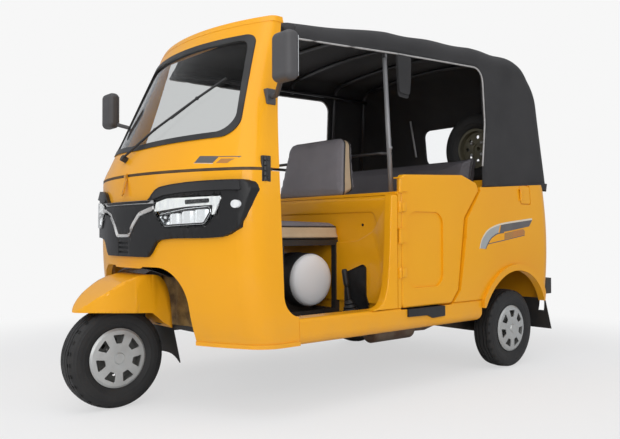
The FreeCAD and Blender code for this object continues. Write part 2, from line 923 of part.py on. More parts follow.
# Sill under the driver's opening and the door
def make_sill():
    front_y = front_split() + seat_gap
    points = [(sill_inner_x, sill_low_z), (body_half, sill_low_z), (body_half, sill_top_z - panel_gap),
              (sill_inner_x, sill_top_z - panel_gap)]
    sill = plate([vec(x, front_y, z) for x, z in points], [0, sill_round, sill_round / 3, 0],
                 vec(0, sill_back_y - front_y, 0))
    return sill.cut(rear_arch(arch_radius + panel_gap))


def make_sills():
    sill = make_sill()
    left = sill.cut(side_step_block(seat_gap)).cut(door_cutter())
    return Part.makeCompound([left, mirror_x0(sill)])


def front_split():
    return pillar_low_y + cowl_corner * front_split_share


def door_cutter():
    return plate_yz(door_points(panel_gap * 1.3), 0, body_half - door_thickness - panel_gap,
                    flare_half + overrun)


def side_step_block(grow):
    y0 = step_front_y - grow
    y1 = step_front_y + step_length + grow
    z0 = step_low_z - grow
    z1 = step_low_z + step_height + grow
    points = [(y0, z0 + step_height * 0.25), (y0 + step_length * 0.52, z0 + step_height * 0.22),
              (y0 + step_length * 0.66, z0), (y1, z0 + step_height * 0.05), (y1, z1), (y0, z1)]
    return plate_yz(points, 0, body_half - sill_round - grow, body_half + step_proud)


def make_side_step():
    step = side_step_block(0).common(box(0, body_half + step_proud, -overall_length, overall_length, 0,
                                         sill_top_z - panel_gap))
    return step.cut(door_cutter())


# Partition with pressed recesses and a top flange
def make_bulkhead():
    half = body_half - seat_gap
    t = bulk_thickness
    wall = box(-half, half, bulk_y, bulk_y + t, floor_top_z, bulk_top_z)
    flange = box(-half, half, bulk_y - bulk_flange / 2, bulk_y + bulk_flange_depth, bulk_top_z,
                 bulk_top_z + bulk_flange)
    wall = fuse([wall, flange])
    sill_space = box(sill_inner_x - seat_gap, body_half + overrun, bulk_y - overrun, bulk_y + t + overrun, 0,
                     sill_top_z - panel_gap + seat_gap)
    door_space = box(body_half - door_thickness - panel_gap, body_half + overrun, door_front_y - panel_gap,
                     bulk_y + bulk_flange_depth + overrun, 0, overall_height)
    recess = plate_xz([(recess_inner_x, recess_low_z), (recess_outer_x, recess_low_z),
                       (recess_outer_x, recess_top_z),
                       (recess_inner_x, recess_top_z)], recess_round, bulk_y - overrun,
                      bulk_y + recess_depth)
    for cutter in (sill_space, door_space, recess):
        wall = wall.cut(cutter).cut(mirror_x0(cutter))
    for z in (hinge_low_z, hinge_high_z):
        wall = wall.cut(box(body_half - hinge_radius - panel_gap, body_half + overrun,
                            hinge_axis_y - hinge_radius - panel_gap,
                            bulk_y + t + overrun, z - hinge_height / 2 - seat_gap,
                            z + hinge_height / 2 + seat_gap))
    ears = hinge_pins(vec(hinge_axis_x, hinge_axis_y, 0), vec(0, 0, 1), (hinge_low_z, hinge_high_z),
                      hinge_height)
    ledges = []
    for z in (hinge_low_z, hinge_high_z):
        for end in (-1, 1):
            z0 = z + end * (hinge_height / 2 + hinge_play * 6)
            z1 = z0 + end * hinge_ear
            ledges.append(box(body_half - hinge_radius * 3, hinge_axis_x + hinge_radius, bulk_y,
                              hinge_axis_y + hinge_radius, min(z0, z1), max(z0, z1)))
    return fuse([wall] + ears + ledges)


def hinge_pins(point, axis, places, length):
    pins = []
    for place in places:
        centre = point + axis * place
        reach = axis * (length / 2 + hinge_ear)
        pins.append(rod(centre - reach, centre + reach, hinge_pin_radius))
    return pins


# Rear body: plan sections with rounded rear corners
def rear_section(z, half, back_y, inset, front_y):
    half = half - inset
    back_y = back_y - inset
    corner = rear_corner - inset
    bow = rear_bulge
    side_end = vec(half, back_y - corner - bow, z)
    back_side = vec(half - corner, back_y - bow * 0.8, z)
    vertex = vec(half - corner * 0.08, back_y - bow - corner * 0.08, z)
    mid = vec(half - corner * 0.29, back_y - bow - corner * 0.29, z)

    def flip(p):
        return vec(-p.x, p.y, p.z)

    front = vec(half, front_y, z)
    edges = [Part.LineSegment(front, side_end).toShape(),
             Part.Arc(side_end, mid, back_side).toShape(),
             Part.Arc(back_side, vec(0, back_y, z), flip(back_side)).toShape(),
             Part.Arc(flip(back_side), flip(mid), flip(side_end)).toShape(),
             Part.LineSegment(flip(side_end), flip(front)).toShape(),
             Part.LineSegment(flip(front), front).toShape()]
    return Part.Wire(edges)


rear_level_shares = [0.0, 0.30, 0.62, 1.0]
rear_half_shares = [0.0, 0.85, 1.0, -0.30]
rear_lean_shares = [0.30, 1.0, 0.80, 0.0]


def rear_solid(inset, front_y, low_z, high_z):
    sections = []
    for level, wide, lean in zip(rear_level_shares, rear_half_shares, rear_lean_shares):
        z = span(low_z, high_z, level)
        half = body_half + rear_bulge * 0.7 * wide
        back = rear_back_y - rear_bulge * (1 - lean)
        sections.append(rear_section(z, half, back, inset, front_y))
    return Part.makeLoft(sections, True, False)


def belt_cut():
    rise = (belt_back_z - belt_front_z)
    points = [(-overall_length, belt_front_z), (hood_opening_foot_y, belt_front_z),
              (rear_back_y, belt_back_z),
              (overall_length, belt_back_z), (overall_length, overall_height),
              (-overall_length, overall_height)]
    return plate_yz(points, 0, -overall_width, overall_width)


def rear_arch(radius):
    arch = Part.makeCylinder(radius, overall_width * 2, vec(-overall_width, rear_axle_y, arch_z),
                             vec(1, 0, 0))
    drop = box(-overall_width, overall_width, rear_axle_y - radius, rear_axle_y + radius, -overrun, arch_z)
    return fuse([arch, drop])


def door_points(grow):
    points = share_points(door_outline_shares, door_front_y, door_length, door_low_z, door_height)
    if grow == 0:
        return points
    middle_y = door_front_y + door_length * 0.45
    middle_z = door_low_z + door_height * 0.5
    face = Part.Face(Part.Wire(path_edges([vec(0, y, z) for y, z in points], 0, True)))
    wide = Part.Wire(face.OuterWire.makeOffset2D(grow, 2).Edges)
    return [(v.Point.y, v.Point.z) for v in wide.OrderedVertexes]


def make_rear_shell():
    inset = rear_wall
    outer = rear_solid(0, side_front_y, rear_low_z, belt_back_z)
    inner = rear_solid(inset, side_front_y - overrun, rear_low_z - overrun, belt_back_z + overrun)
    shell = outer.cut(inner).cut(belt_cut())
    flare_outer = Part.makeCylinder(arch_radius + arch_flare_width, overall_width,
                                    vec(-flare_half, rear_axle_y, arch_z),
                                    vec(1, 0, 0))
    flare_outer = flare_outer.common(box(-flare_half, flare_half, -overall_length, rear_back_y - rear_corner,
                                         rear_low_z, overall_height))
    flare_outer = flare_outer.common(rear_solid(-arch_flare, side_front_y, rear_low_z, belt_back_z))
    flare_inner = rear_solid(rear_wall / 2, side_front_y - overrun, rear_low_z - overrun,
                             belt_back_z + overrun)
    flare = flare_outer.cut(flare_inner)
    shell = fuse([shell, flare]).cut(rear_arch(arch_radius))
    return shell


def make_rear_pieces():
    shell = make_rear_shell()
    big = overall_length
    door_cut = door_cutter()
    above = box(body_half - rear_wall * 2, flare_half + overrun, -big,
                hood_opening_foot_y - hood_opening_round * 0.4,
                door_low_z + door_height * 0.5, overall_height)
    above = above.common(plate_yz([(-big, 0), (door_front_y + door_length * 0.79, 0),
                                   (door_front_y + door_length * 0.79, door_low_z + door_height * 0.66),
                                   (door_front_y + door_length + panel_gap,
                                    door_low_z + door_height * 0.885),
                                   (door_front_y + door_length + panel_gap, overall_height),
                                   (-big, overall_height)], 0,
                                  0, flare_half + overrun))
    sill_zone = box(sill_inner_x - overrun, flare_half + overrun, -big, sill_back_y + panel_gap / 4, 0,
                    sill_top_z - panel_gap + seat_gap)
    side_box = box(quarter_split_x, overall_width, -big, big, 0, overall_height)
    left = shell.common(side_box).cut(door_cut).cut(above).cut(sill_zone)
    left = max(left.Solids, key=lambda s: s.Volume)
    lid_hole = fuel_block(panel_gap, fuel_thickness + seat_gap)
    right = shell.common(mirror_x0(side_box)).cut(mirror_x0(sill_zone))
    right = right.cut(box(-overall_width, 0, -big, door_front_y - panel_gap + seat_gap, 0, overall_height))
    right = max(right.Solids, key=lambda s: s.Volume)
    panel = shell.common(box(-quarter_split_x + seat_gap, quarter_split_x - seat_gap, 0, big, 0,
                             overall_height))
    hatch_hole = hatch_plate(panel_gap)
    panel = fuse([panel.cut(hatch_hole)] + hatch_ears())
    left = fuse([left.cut(lid_hole)] + fuel_ears())
    return left, right, panel, shell


def hatch_plate(grow):
    points = [(-hatch_half - grow, hatch_low_z - grow), (hatch_half + grow, hatch_low_z - grow),
              (hatch_half + grow, hatch_top_z + grow), (-hatch_half - grow, hatch_top_z + grow)]
    return plate_xz(points, hatch_round, rear_back_y - rear_corner * 1.5, overall_length)


def hatch_axis_y():
    return hatch_face_y + hatch_hinge_radius + panel_gap


def hatch_axis_z():
    return hatch_top_z + panel_gap / 2


def hatch_ears():
    ears = hinge_pins(vec(0, hatch_axis_y(), hatch_axis_z()), vec(1, 0, 0), (-hatch_hinge_x, hatch_hinge_x),
                      hatch_hinge_length)
    r = hatch_hinge_radius
    wall_y = hatch_face_y - rear_wall / 2
    side = [(wall_y, hatch_top_z + panel_gap), (hatch_axis_y(), hatch_top_z + panel_gap),
            (hatch_axis_y(), hatch_axis_z() + r), (wall_y, hatch_axis_z() + r * 2)]
    for place in (-hatch_hinge_x, hatch_hinge_x):
        for end in (-1, 1):
            x0 = place + end * (hatch_hinge_length / 2 + hinge_play * 6)
            x1 = x0 + end * hinge_ear
            ears.append(plate_yz(side, 0, min(x0, x1), max(x0, x1)))
            ears.append(rod(vec(x0, hatch_axis_y(), hatch_axis_z()),
                            vec(x1, hatch_axis_y(), hatch_axis_z()), r))
    return ears


def make_engine_hatch(shell):
    lid = shell.common(hatch_plate(0))
    for i in range(hatch_slots):
        z = span(hatch_low_z, hatch_top_z, 0.30) + i * hatch_slot_pitch
        lid = lid.cut(box(-hatch_slot_half, hatch_slot_half, 0, overall_length, z, z + hatch_slot_height))
    z = hatch_top_z - hatch_round
    knuckles = []
    for place in (-hatch_hinge_x, hatch_hinge_x):
        centre = vec(place, hatch_axis_y(), hatch_axis_z())
        half = vec(hatch_hinge_length / 2, 0, 0)
        barrel = rod(centre - half, centre + half, hatch_hinge_radius)
        leaf = plate_yz([(hatch_face_y - rear_wall / 2, hatch_top_z - hatch_leaf),
                         (hatch_face_y + hatch_hinge_radius / 2, hatch_top_z - hatch_leaf),
                         (hatch_axis_y() + hatch_hinge_radius * 0.5,
                          hatch_axis_z() - hatch_hinge_radius * 0.8),
                         (hatch_axis_y(), hatch_axis_z()), (hatch_face_y - rear_wall / 2, hatch_top_z)], 0,
                        place - hatch_hinge_length / 2, place + hatch_hinge_length / 2)
        knuckles += [barrel, leaf]
    lid = fuse([lid] + knuckles)
    lid = lid.cut(rod(vec(-hatch_half, hatch_axis_y(), hatch_axis_z()),
                      vec(hatch_half, hatch_axis_y(), hatch_axis_z()),
                      hinge_pin_radius + hinge_play))
    for side in (-1, 1):
        lid = lid.cut(Part.makeCylinder(plate_hole_radius, overall_length,
                                        vec(side * plate_hole_pitch / 2, 0, z),
                                        vec(0, 1, 0)))
    return lid


def fuel_block(grow, depth):
    y0 = fuel_y - grow
    y1 = fuel_y + fuel_length + grow
    z0 = fuel_low_z - grow
    z1 = fuel_low_z + fuel_height + grow
    block = plate_yz([(y0, z0), (y1, z0), (y1, z1), (y0, z1)], fuel_round, 0, overall_width)
    skin = rear_solid(-overrun / 4, side_front_y, rear_low_z, belt_back_z)
    skin = skin.cut(rear_solid(depth, side_front_y - overrun, rear_low_z - overrun, belt_back_z + overrun))
    return block.common(skin)


def make_fuel_flap():
    block = plate_yz([(fuel_y, fuel_low_z), (fuel_y + fuel_length, fuel_low_z),
                      (fuel_y + fuel_length, fuel_low_z + fuel_height), (fuel_y, fuel_low_z + fuel_height)],
                     fuel_round, 0, overall_width)
    skin = rear_solid(0, side_front_y, rear_low_z, belt_back_z)
    skin = skin.cut(rear_solid(fuel_thickness, side_front_y - overrun, rear_low_z - overrun,
                               belt_back_z + overrun))
    lid = max(block.common(skin).Solids, key=lambda s: s.Volume)
    middle_z = fuel_low_z + fuel_height / 2
    low = vec(fuel_axis_x, fuel_axis_y, middle_z - fuel_barrel_length / 2)
    high = low + vec(0, 0, fuel_barrel_length)
    leaf = box(fuel_axis_x - fuel_barrel_radius * 2, fuel_axis_x - fuel_barrel_radius * 0.4,
               fuel_axis_y + fuel_pin_radius,
               fuel_y + fuel_round * 2, low.z, high.z)
    lid = fuse([lid, rod(low, high, fuel_barrel_radius), leaf])
    return lid.cut(rod(low - vec(0, 0, overrun), high + vec(0, 0, overrun), fuel_pin_radius + hinge_play))


def fuel_ears():
    middle_z = fuel_low_z + fuel_height / 2
    ears = []
    for end in (-1, 1):
        z0 = middle_z + end * (fuel_barrel_length / 2 + hinge_play * 6)
        z1 = z0 + end * hinge_ear
        ears.append(box(fuel_axis_x - rear_wall, fuel_axis_x + fuel_pin_radius,
                        fuel_axis_y - fuel_barrel_radius * 2,
                        fuel_y - panel_gap, min(z0, z1), max(z0, z1)))
        ears.append(rod(vec(fuel_axis_x, fuel_axis_y, z0), vec(fuel_axis_x, fuel_axis_y, z1),
                        fuel_barrel_radius))
    reach = vec(0, 0, fuel_barrel_length / 2 + hinge_ear / 2)
    centre = vec(fuel_axis_x, fuel_axis_y, middle_z)
    return ears + [rod(centre - reach, centre + reach, fuel_pin_radius)]


# Door: a whole panel with a pressed relief and two hinge knuckles
def make_passenger_door():
    points = door_points(0)
    slab = plate_yz(points, door_corner, body_half - door_thickness, body_half)
    front_edges = [e for e in slab.Edges if e.BoundBox.XMin > body_half - seat_gap]
    slab = soften(slab, front_edges, door_round)
    relief_points = share_points(door_relief_shares, door_front_y, door_length, door_low_z, door_height)
    relief = plate_yz(relief_points, door_relief_round, body_half - door_relief_depth, body_half + overrun)
    slab = slab.cut(relief)
    for z in (hinge_low_z, hinge_high_z):
        knuckle = Part.makeCylinder(hinge_radius, hinge_height,
                                    vec(hinge_axis_x, hinge_axis_y, z - hinge_height / 2))
        leaf = box(hinge_axis_x - hinge_leaf / 2, hinge_axis_x + hinge_leaf / 2 + hinge_leaf, hinge_axis_y,
                   door_front_y + hinge_leaf_length, z - hinge_height / 2, z + hinge_height / 2)
        slab = fuse([slab, knuckle, leaf])
        slab = slab.cut(rod(vec(hinge_axis_x, hinge_axis_y, z - hinge_height),
                            vec(hinge_axis_x, hinge_axis_y, z + hinge_height),
                            hinge_pin_radius + hinge_play))
    return slab


# Bench box, deck and wheel housings inside the rear body
def make_bench_frame():
    t = bench_skirt
    half = bench_half + rear_wall
    front = box(-half, half, bench_front_y + t, bench_front_y + t * 2, floor_top_z - floor_thickness,
                bench_low_z - seat_gap)
    front = front.cut(box(sill_inner_x - seat_gap, body_half, 0, overall_length, 0,
                          sill_top_z - panel_gap + seat_gap))
    front = front.cut(mirror_x0(box(sill_inner_x - seat_gap, body_half, 0, overall_length, 0,
                                    sill_top_z - panel_gap + seat_gap)))
    front = front.cut(make_floor_pan())
    top = box(-half, half, bench_front_y + t, deck_front_y + t, bench_low_z - t - seat_gap,
              bench_low_z - seat_gap)
    back = box(-half, half, deck_front_y, deck_front_y + t, bench_low_z - t, deck_z - deck_thickness)
    deck = box(-half - overrun, half + overrun, deck_front_y, rear_back_y, deck_z - deck_thickness, deck_z)
    deck = deck.common(rear_solid(rear_wall + seat_gap, side_front_y, rear_low_z, deck_z))
    frame = fuse([front, top, back, deck])
    inside = rear_solid(rear_wall + seat_gap, side_front_y, rear_low_z, deck_z)
    return frame.common(fuse([inside, box(-half, half, bench_front_y, deck_front_y, rail_top_z,
                                          rear_low_z)]))


# Seats
def make_driver_backrest():
    y = bulk_y + backrest_lean * 0.3
    t = backrest_thickness
    face = [(-backrest_low_half, backrest_low_z), (backrest_low_half, backrest_low_z),
            (backrest_top_half, backrest_low_z + backrest_height),
            (-backrest_top_half, backrest_low_z + backrest_height)]
    wide = plate_xz(face, [cushion_round, cushion_round, cushion_round * 1.8, cushion_round * 1.8],
                    y - overrun,
                    y + backrest_lean + t + overrun)
    side = [(y, backrest_low_z), (y + backrest_lean, backrest_low_z + backrest_height),
            (y + backrest_lean + t, backrest_low_z + backrest_height), (y + t, backrest_low_z)]
    deep = plate_yz(side, cushion_round * 0.8, -backrest_low_half, backrest_low_half)
    return wide.common(deep)


def make_bench_backrest():
    y = bench_back_low_y
    t = bench_back_thickness
    side = [(y, bench_back_z), (y + bench_back_lean, bench_back_z + bench_back_height),
            (y + bench_back_lean + t * bench_back_foot_share, bench_back_z + bench_back_height),
            (y + t, bench_back_z)]
    return plate_yz(side, cushion_round, -bench_half, bench_half)


def make_driver_seat_frame():
    pieces = []
    y0 = bulk_y - cushion_length + seat_rail_half
    y1 = bulk_y - seat_gap
    h = seat_rail_half
    for side in (-1, 1):
        x = side * seat_leg_x
        pieces.append(box(x - h, x + h, y0, y1, cushion_low_z - h * 2 - seat_gap, cushion_low_z - seat_gap))
        pieces.append(box(x - h, x + h, y0, y0 + h * 2, floor_top_z, cushion_low_z - h))
        pieces.append(box(x - h, x + h, y1 - h * 2, y1, floor_top_z, cushion_low_z - h))
        pieces.append(box(x - h, x + h, y0, y1, floor_top_z, floor_top_z + h))
    pieces.append(box(-seat_leg_x, seat_leg_x, y0, y0 + h * 2, cushion_low_z - h * 2 - seat_gap,
                      cushion_low_z - seat_gap))
    pieces.append(box(-seat_leg_x, seat_leg_x, y1 - h * 2, y1, cushion_low_z - h * 2 - seat_gap,
                      cushion_low_z - seat_gap))
    pieces.append(box(-seat_leg_x, seat_leg_x, y0, y0 + h * 2, floor_top_z, floor_top_z + h))
    pieces.append(box(-seat_leg_x, seat_leg_x, y1 - h * 2, y1, floor_top_z, floor_top_z + h))
    tank = Part.makeCylinder(cylinder_radius + seat_gap, cylinder_half * 2,
                             vec(-cylinder_half, cylinder_y, cylinder_z),
                             vec(1, 0, 0))
    for side in (-1, 1):
        x = side * cradle_x
        band = Part.makeCylinder(cylinder_radius + cradle_wall, cradle_width,
                                 vec(x - cradle_width / 2, cylinder_y, cylinder_z),
                                 vec(1, 0, 0))
        foot = box(x - cradle_width / 2, x + cradle_width / 2, y0, y1, floor_top_z, floor_top_z + h)
        stand = box(x - cradle_width / 2, x + cradle_width / 2, cylinder_y - cylinder_radius * 0.7,
                    cylinder_y + cylinder_radius * 0.7, floor_top_z, cylinder_z - cylinder_radius * 0.55)
        pieces += [band.cut(tank), foot, stand.cut(tank)]
    return fuse(pieces).cut(tank)


def make_gas_cylinder():
    r = cylinder_radius
    half = cylinder_half
    body = Part.makeCylinder(r, half * 2, vec(-half, cylinder_y, cylinder_z), vec(1, 0, 0))
    ends = [e for e in body.Edges if isinstance(e.Curve, Part.Circle)]
    body = body.makeFillet(cylinder_dome, ends)
    valve = rod(vec(half - seat_gap, cylinder_y, cylinder_z),
                vec(half + valve_length, cylinder_y, cylinder_z), valve_radius)
    valve = valve.cut(box(half + valve_length * 0.5, half + valve_length, cylinder_y - valve_radius,
                          cylinder_y - valve_radius * 0.5, cylinder_z - valve_radius,
                          cylinder_z + valve_radius))
    return fuse([body, valve])


# Hood: sections across, cut to the side profile, then hollowed
def hood_shoulder(y):
    if y < hood_mid_y:
        return span(hood_shoulder_front, hood_shoulder_mid, (y - hood_front_y) / (hood_mid_y - hood_front_y))
    if y < hood_back_y:
        return span(hood_shoulder_mid, hood_shoulder_back, (y - hood_mid_y) / (hood_back_y - hood_mid_y))
    return hood_shoulder_back


def hood_top(y):
    if y < hood_mid_y:
        return span(hood_top_front_z, hood_top_mid_z, (y - hood_front_y) / (hood_mid_y - hood_front_y))
    if y < hood_back_y:
        return span(hood_top_mid_z, overall_height, (y - hood_mid_y) / (hood_back_y - hood_mid_y))
    return overall_height


def hood_section_points(y, inset, low_z):
    shoulder = hood_shoulder(y)
    top = hood_top(y) - inset
    back_share = min(1.0, max(0.0, (y - hood_mid_y) / (hood_back_y - hood_mid_y)))
    low_half = span(shoulder, hood_low_half, span(hood_front_spread, 1.0, back_share))
    slope = (low_half - shoulder) / (top - belt_back_z)
    foot = shoulder - inset + slope * (top - low_z)
    rim_z = top - hood_drop
    return foot, shoulder - inset, top, rim_z


def hood_section_edges(y, inset, low_z):
    foot, shoulder, top, rim_z = hood_section_points(y, inset, low_z)
    corner = corner_point(vec(foot, y, low_z), vec(shoulder, y, rim_z), vec(0, y, rim_z + hood_drop * 0.72),
                          hood_round)

    def flip(p):
        return vec(-p.x, p.y, p.z)

    crown = Part.Arc(corner[2], vec(0, y, top), flip(corner[2])).toShape()
    return [Part.LineSegment(vec(foot, y, low_z), corner[0]).toShape(),
            Part.Arc(corner[0], corner[1], corner[2]).toShape(), crown,
            Part.Arc(flip(corner[2]), flip(corner[1]), flip(corner[0])).toShape(),
            Part.LineSegment(flip(corner[0]), vec(-foot, y, low_z)).toShape()]


def hood_solid(inset, front_y, back_y, low_z):
    sections = []
    for y in (front_y, hood_mid_y, hood_back_y * 0.5, hood_back_y, back_y):
        edges = hood_section_edges(y, inset, low_z)
        foot = hood_section_points(y, inset, low_z)[0]
        edges.append(Part.LineSegment(vec(-foot, y, low_z), vec(foot, y, low_z)).toShape())
        sections.append(Part.Wire(edges))
    return Part.makeLoft(sections, True, True)


def hood_profile(inset, front_y):
    high = overall_height + overrun
    points = [(front_y, belt_front_z - overrun * 2), (hood_foot_y - inset, belt_front_z - overrun * 2),
              (hood_foot_y - inset, belt_back_z), (hood_knee_y - inset, hood_knee_z - inset * 0.4),
              (hood_crest_y - inset * 0.5, overall_height - inset), (hood_back_y, overall_height - inset),
              (hood_back_y, high), (front_y, high)]
    return plate_yz(points, [0, 0, 0, hood_round, hood_round, 0, 0, 0], -overall_width, overall_width)


def hood_back(z):
    if z <= belt_back_z:
        return hood_foot_y
    if z <= hood_knee_z:
        return span(hood_foot_y, hood_knee_y, (z - belt_back_z) / (hood_knee_z - belt_back_z))
    return span(hood_knee_y, hood_crest_y, (z - hood_knee_z) / (overall_height - hood_knee_z))


def hood_corners(inset, front_y):
    sections = []
    for z in (belt_front_z - overrun * 3, belt_back_z, hood_knee_z, overall_height + hood_round):
        half = hood_section_points(hood_back_y, inset, z)[0] + seat_gap * 2
        back_y = hood_back(z) - inset + seat_gap
        points = [vec(half, front_y, z), vec(half, back_y, z), vec(-half, back_y, z), vec(-half, front_y, z)]
        radius = hood_corner - inset
        sections.append(Part.Wire(path_edges(points, [0, radius, radius, 0], True)))
    return Part.makeLoft(sections, True, True)


def make_hood():
    back = hood_foot_y + overrun
    outer = hood_solid(0, hood_front_y, back, belt_front_z).common(hood_profile(0, hood_front_y))
    outer = outer.common(hood_corners(0, hood_front_y - overrun * 2))
    t = hood_thickness
    inner = hood_solid(t, hood_front_y - overrun, back, belt_front_z - overrun)
    inner = inner.common(hood_profile(t, hood_front_y - overrun))
    inner = inner.common(hood_corners(t, hood_front_y - overrun * 3))
    cloth = outer.cut(inner)
    side = [(hood_front_y - overrun, belt_front_z - overrun), (hood_opening_foot_y, belt_front_z - overrun),
            (hood_opening_foot_y, belt_back_z),
            (hood_opening_back_y, span(belt_back_z, hood_rail_back_z, 0.5)),
            (hood_opening_back_y, hood_rail_back_z), (hood_front_y - overrun, hood_rail_front_z)]
    cloth = cloth.cut(plate_yz(side, [0, 0, 0, hood_opening_round * 4, hood_opening_round, 0],
                               -overall_width, overall_width))
    window = plate_xz([(-window_half, window_low_z), (window_half, window_low_z),
                       (window_half, window_top_z),
                       (-window_half, window_top_z)], window_round, hood_knee_y - overrun * 2,
                      overall_length)
    cloth = cloth.cut(window)
    below = plate_yz([(-overall_length, 0), (overall_length, 0), (overall_length, belt_back_z + seat_gap),
                      (rear_back_y, belt_back_z + seat_gap), (hood_opening_foot_y, belt_front_z + seat_gap),
                      (-overall_length, belt_front_z + seat_gap)], 0, -overall_width, overall_width)
    cloth = cloth.cut(below)
    return max(cloth.Solids, key=lambda s: s.Volume)


def make_rear_window():
    pane = plate_xz([(-window_half, window_low_z), (window_half, window_low_z), (window_half, window_top_z),
                     (-window_half, window_top_z)], window_round, hood_knee_y - overrun * 2, overall_length)
    outer = hood_profile(hood_thickness / 3, hood_front_y)
    inner = hood_profile(hood_thickness / 3 + window_thickness, hood_front_y - overrun)
    return outer.cut(inner).common(pane)


def hood_bow(y, low_z):
    slack = bow_slack if hood_mid_y < y < hood_back_y else tube_gap
    inset = hood_thickness + slack + tube_radius
    return along_edges(hood_section_edges(y, inset, low_z), tube_radius)


def make_hood_frame():
    base = bulk_top_z + bulk_flange + seat_gap * 4
    inset = hood_thickness + tube_gap + tube_radius
    bow_places = ((hood_mid_y - tube_radius * 4, hood_rail_front_z), (hood_back_y * 0.5, hood_rail_back_z),
                  (hood_opening_back_y + tube_radius * 3, deck_z + seat_gap * 6),
                  (hood_crest_y - tube_radius * 5, deck_z + tube_radius * 4))
    bows = [hood_bow(y, low_z) for y, low_z in bow_places]
    front_y = header_back_y + tube_radius * 2
    posts = []
    rails = []
    inner = inset + tube_radius * 2 + tube_gap * 2
    for side in (-1, 1):
        points = []
        for y, z in ((front_y, hood_rail_front_z),
                     (hood_mid_y, span(hood_rail_front_z, hood_rail_back_z, 0.6)),
                     (hood_back_y, hood_rail_back_z), (hood_crest_y - tube_radius * 5, hood_rail_back_z)):
            foot = hood_section_points(y, inner, z + tube_radius * 2)[0]
            points.append(vec(side * foot, y, z + tube_radius * 2))
        rails.append(pipe(points, tube_radius, bow_radius))
        post_top = hood_rail_front_z - tube_gap
        foot = hood_section_points(post_y, inset, post_top)[0]
        posts.append(rod(vec(side * post_x, post_y, base), vec(side * foot, post_y, post_top), tube_radius))
    bar = rod(vec(-post_x, post_y, rail_bar_z), vec(post_x, post_y, rail_bar_z), tube_radius * 0.8)
    right_y = hood_opening_back_y + tube_radius * 3
    right_x = hood_section_points(right_y, inset, rail_bar_z)[0]
    guard = rod(vec(-post_x, post_y, rail_bar_z),
                vec(-right_x, right_y - tube_radius - tube_gap, rail_bar_z),
                tube_radius * 0.8)
    return Part.makeCompound(bows + rails + [fuse(posts + [bar, guard])])


# Wheels: tyre, rim with its drum, and trapezoid-windowed cover
def make_tyre(cx, cy, cz, side):
    r = tyre_radius
    half = tyre_width / 2
    bead = rim_width / 2 - rim_wall - seat_gap
    foot = tyre_bead_radius + seat_gap
    lip = tyre_bead_radius + rim_flange + seat_gap * 2
    wide = span(tyre_bead_radius, r, 0.55)
    drop = r - tyre_width * 0.045
    pts = [vec(-bead, 0, lip), vec(-half * 0.90, 0, span(tyre_bead_radius, r, 0.27)), vec(-half, 0, wide),
           vec(-tyre_tread_half, 0, drop), vec(0, 0, r), vec(tyre_tread_half, 0, drop), vec(half, 0, wide),
           vec(half * 0.90, 0, span(tyre_bead_radius, r, 0.27)), vec(bead, 0, lip)]
    ends = [Part.LineSegment(pts[8], vec(bead, 0, foot)).toShape(),
            Part.LineSegment(vec(bead, 0, foot), vec(-bead, 0, foot)).toShape(),
            Part.LineSegment(vec(-bead, 0, foot), pts[0]).toShape()]
    wall_left = Part.Arc(pts[0], pts[1], pts[2]).toShape()
    shoulder_left = Part.Arc(pts[2], vec(-half * 0.965, 0, span(tyre_bead_radius, r, 0.80)),
                             pts[3]).toShape()
    tread = Part.Arc(pts[3], pts[4], pts[5]).toShape()
    shoulder_right = Part.Arc(pts[5], vec(half * 0.965, 0, span(tyre_bead_radius, r, 0.80)),
                              pts[6]).toShape()
    wall_right = Part.Arc(pts[6], pts[7], pts[8]).toShape()
    face = Part.Face(Part.Wire([wall_left, shoulder_left, tread, shoulder_right, wall_right] + ends))
    tyre = face.revolve(vec(0, 0, 0), vec(1, 0, 0), 360)
    return tyre.translated(vec(cx, cy, cz))


def make_rim(cx, cy, cz, side):
    half = rim_width / 2
    r = tyre_bead_radius
    profile = [vec(-half, 0, r - rim_wall * 2), vec(-half, 0, r + rim_flange),
               vec(-half + rim_wall, 0, r + rim_flange),
               vec(-half + rim_wall, 0, r), vec(half - rim_wall, 0, r),
               vec(half - rim_wall, 0, r + rim_flange),
               vec(half, 0, r + rim_flange), vec(half, 0, r - rim_wall * 2),
               vec(half * 0.35, 0, r - rim_wall * 3),
               vec(half * 0.30, 0, hub_radius), vec(half * 0.15, 0, hub_radius),
               vec(half * 0.15, 0, axle_radius + axle_play),
               vec(-half * 0.9, 0, axle_radius + axle_play), vec(-half * 0.9, 0, hub_radius * 0.9),
               vec(half * 0.10, 0, hub_radius * 0.9), vec(half * 0.16, 0, r - rim_wall * 4),
               vec(-half * 0.7, 0, r - rim_wall * 3)]
    rim = turned(profile, vec(0, 0, 0), vec(1, 0, 0))
    for i in range(cover_windows + 1):
        angle = math.radians(i * 360.0 / (cover_windows + 1))
        spot = (hub_radius + r) / 2
        rim = rim.cut(Part.makeCylinder(hub_radius * 0.36, rim_width,
                                        vec(-half, spot * math.cos(angle), spot * math.sin(angle)),
                                        vec(1, 0, 0)))
    if side < 0:
        rim = mirror_x0(rim)
    return rim.translated(vec(cx, cy, cz))


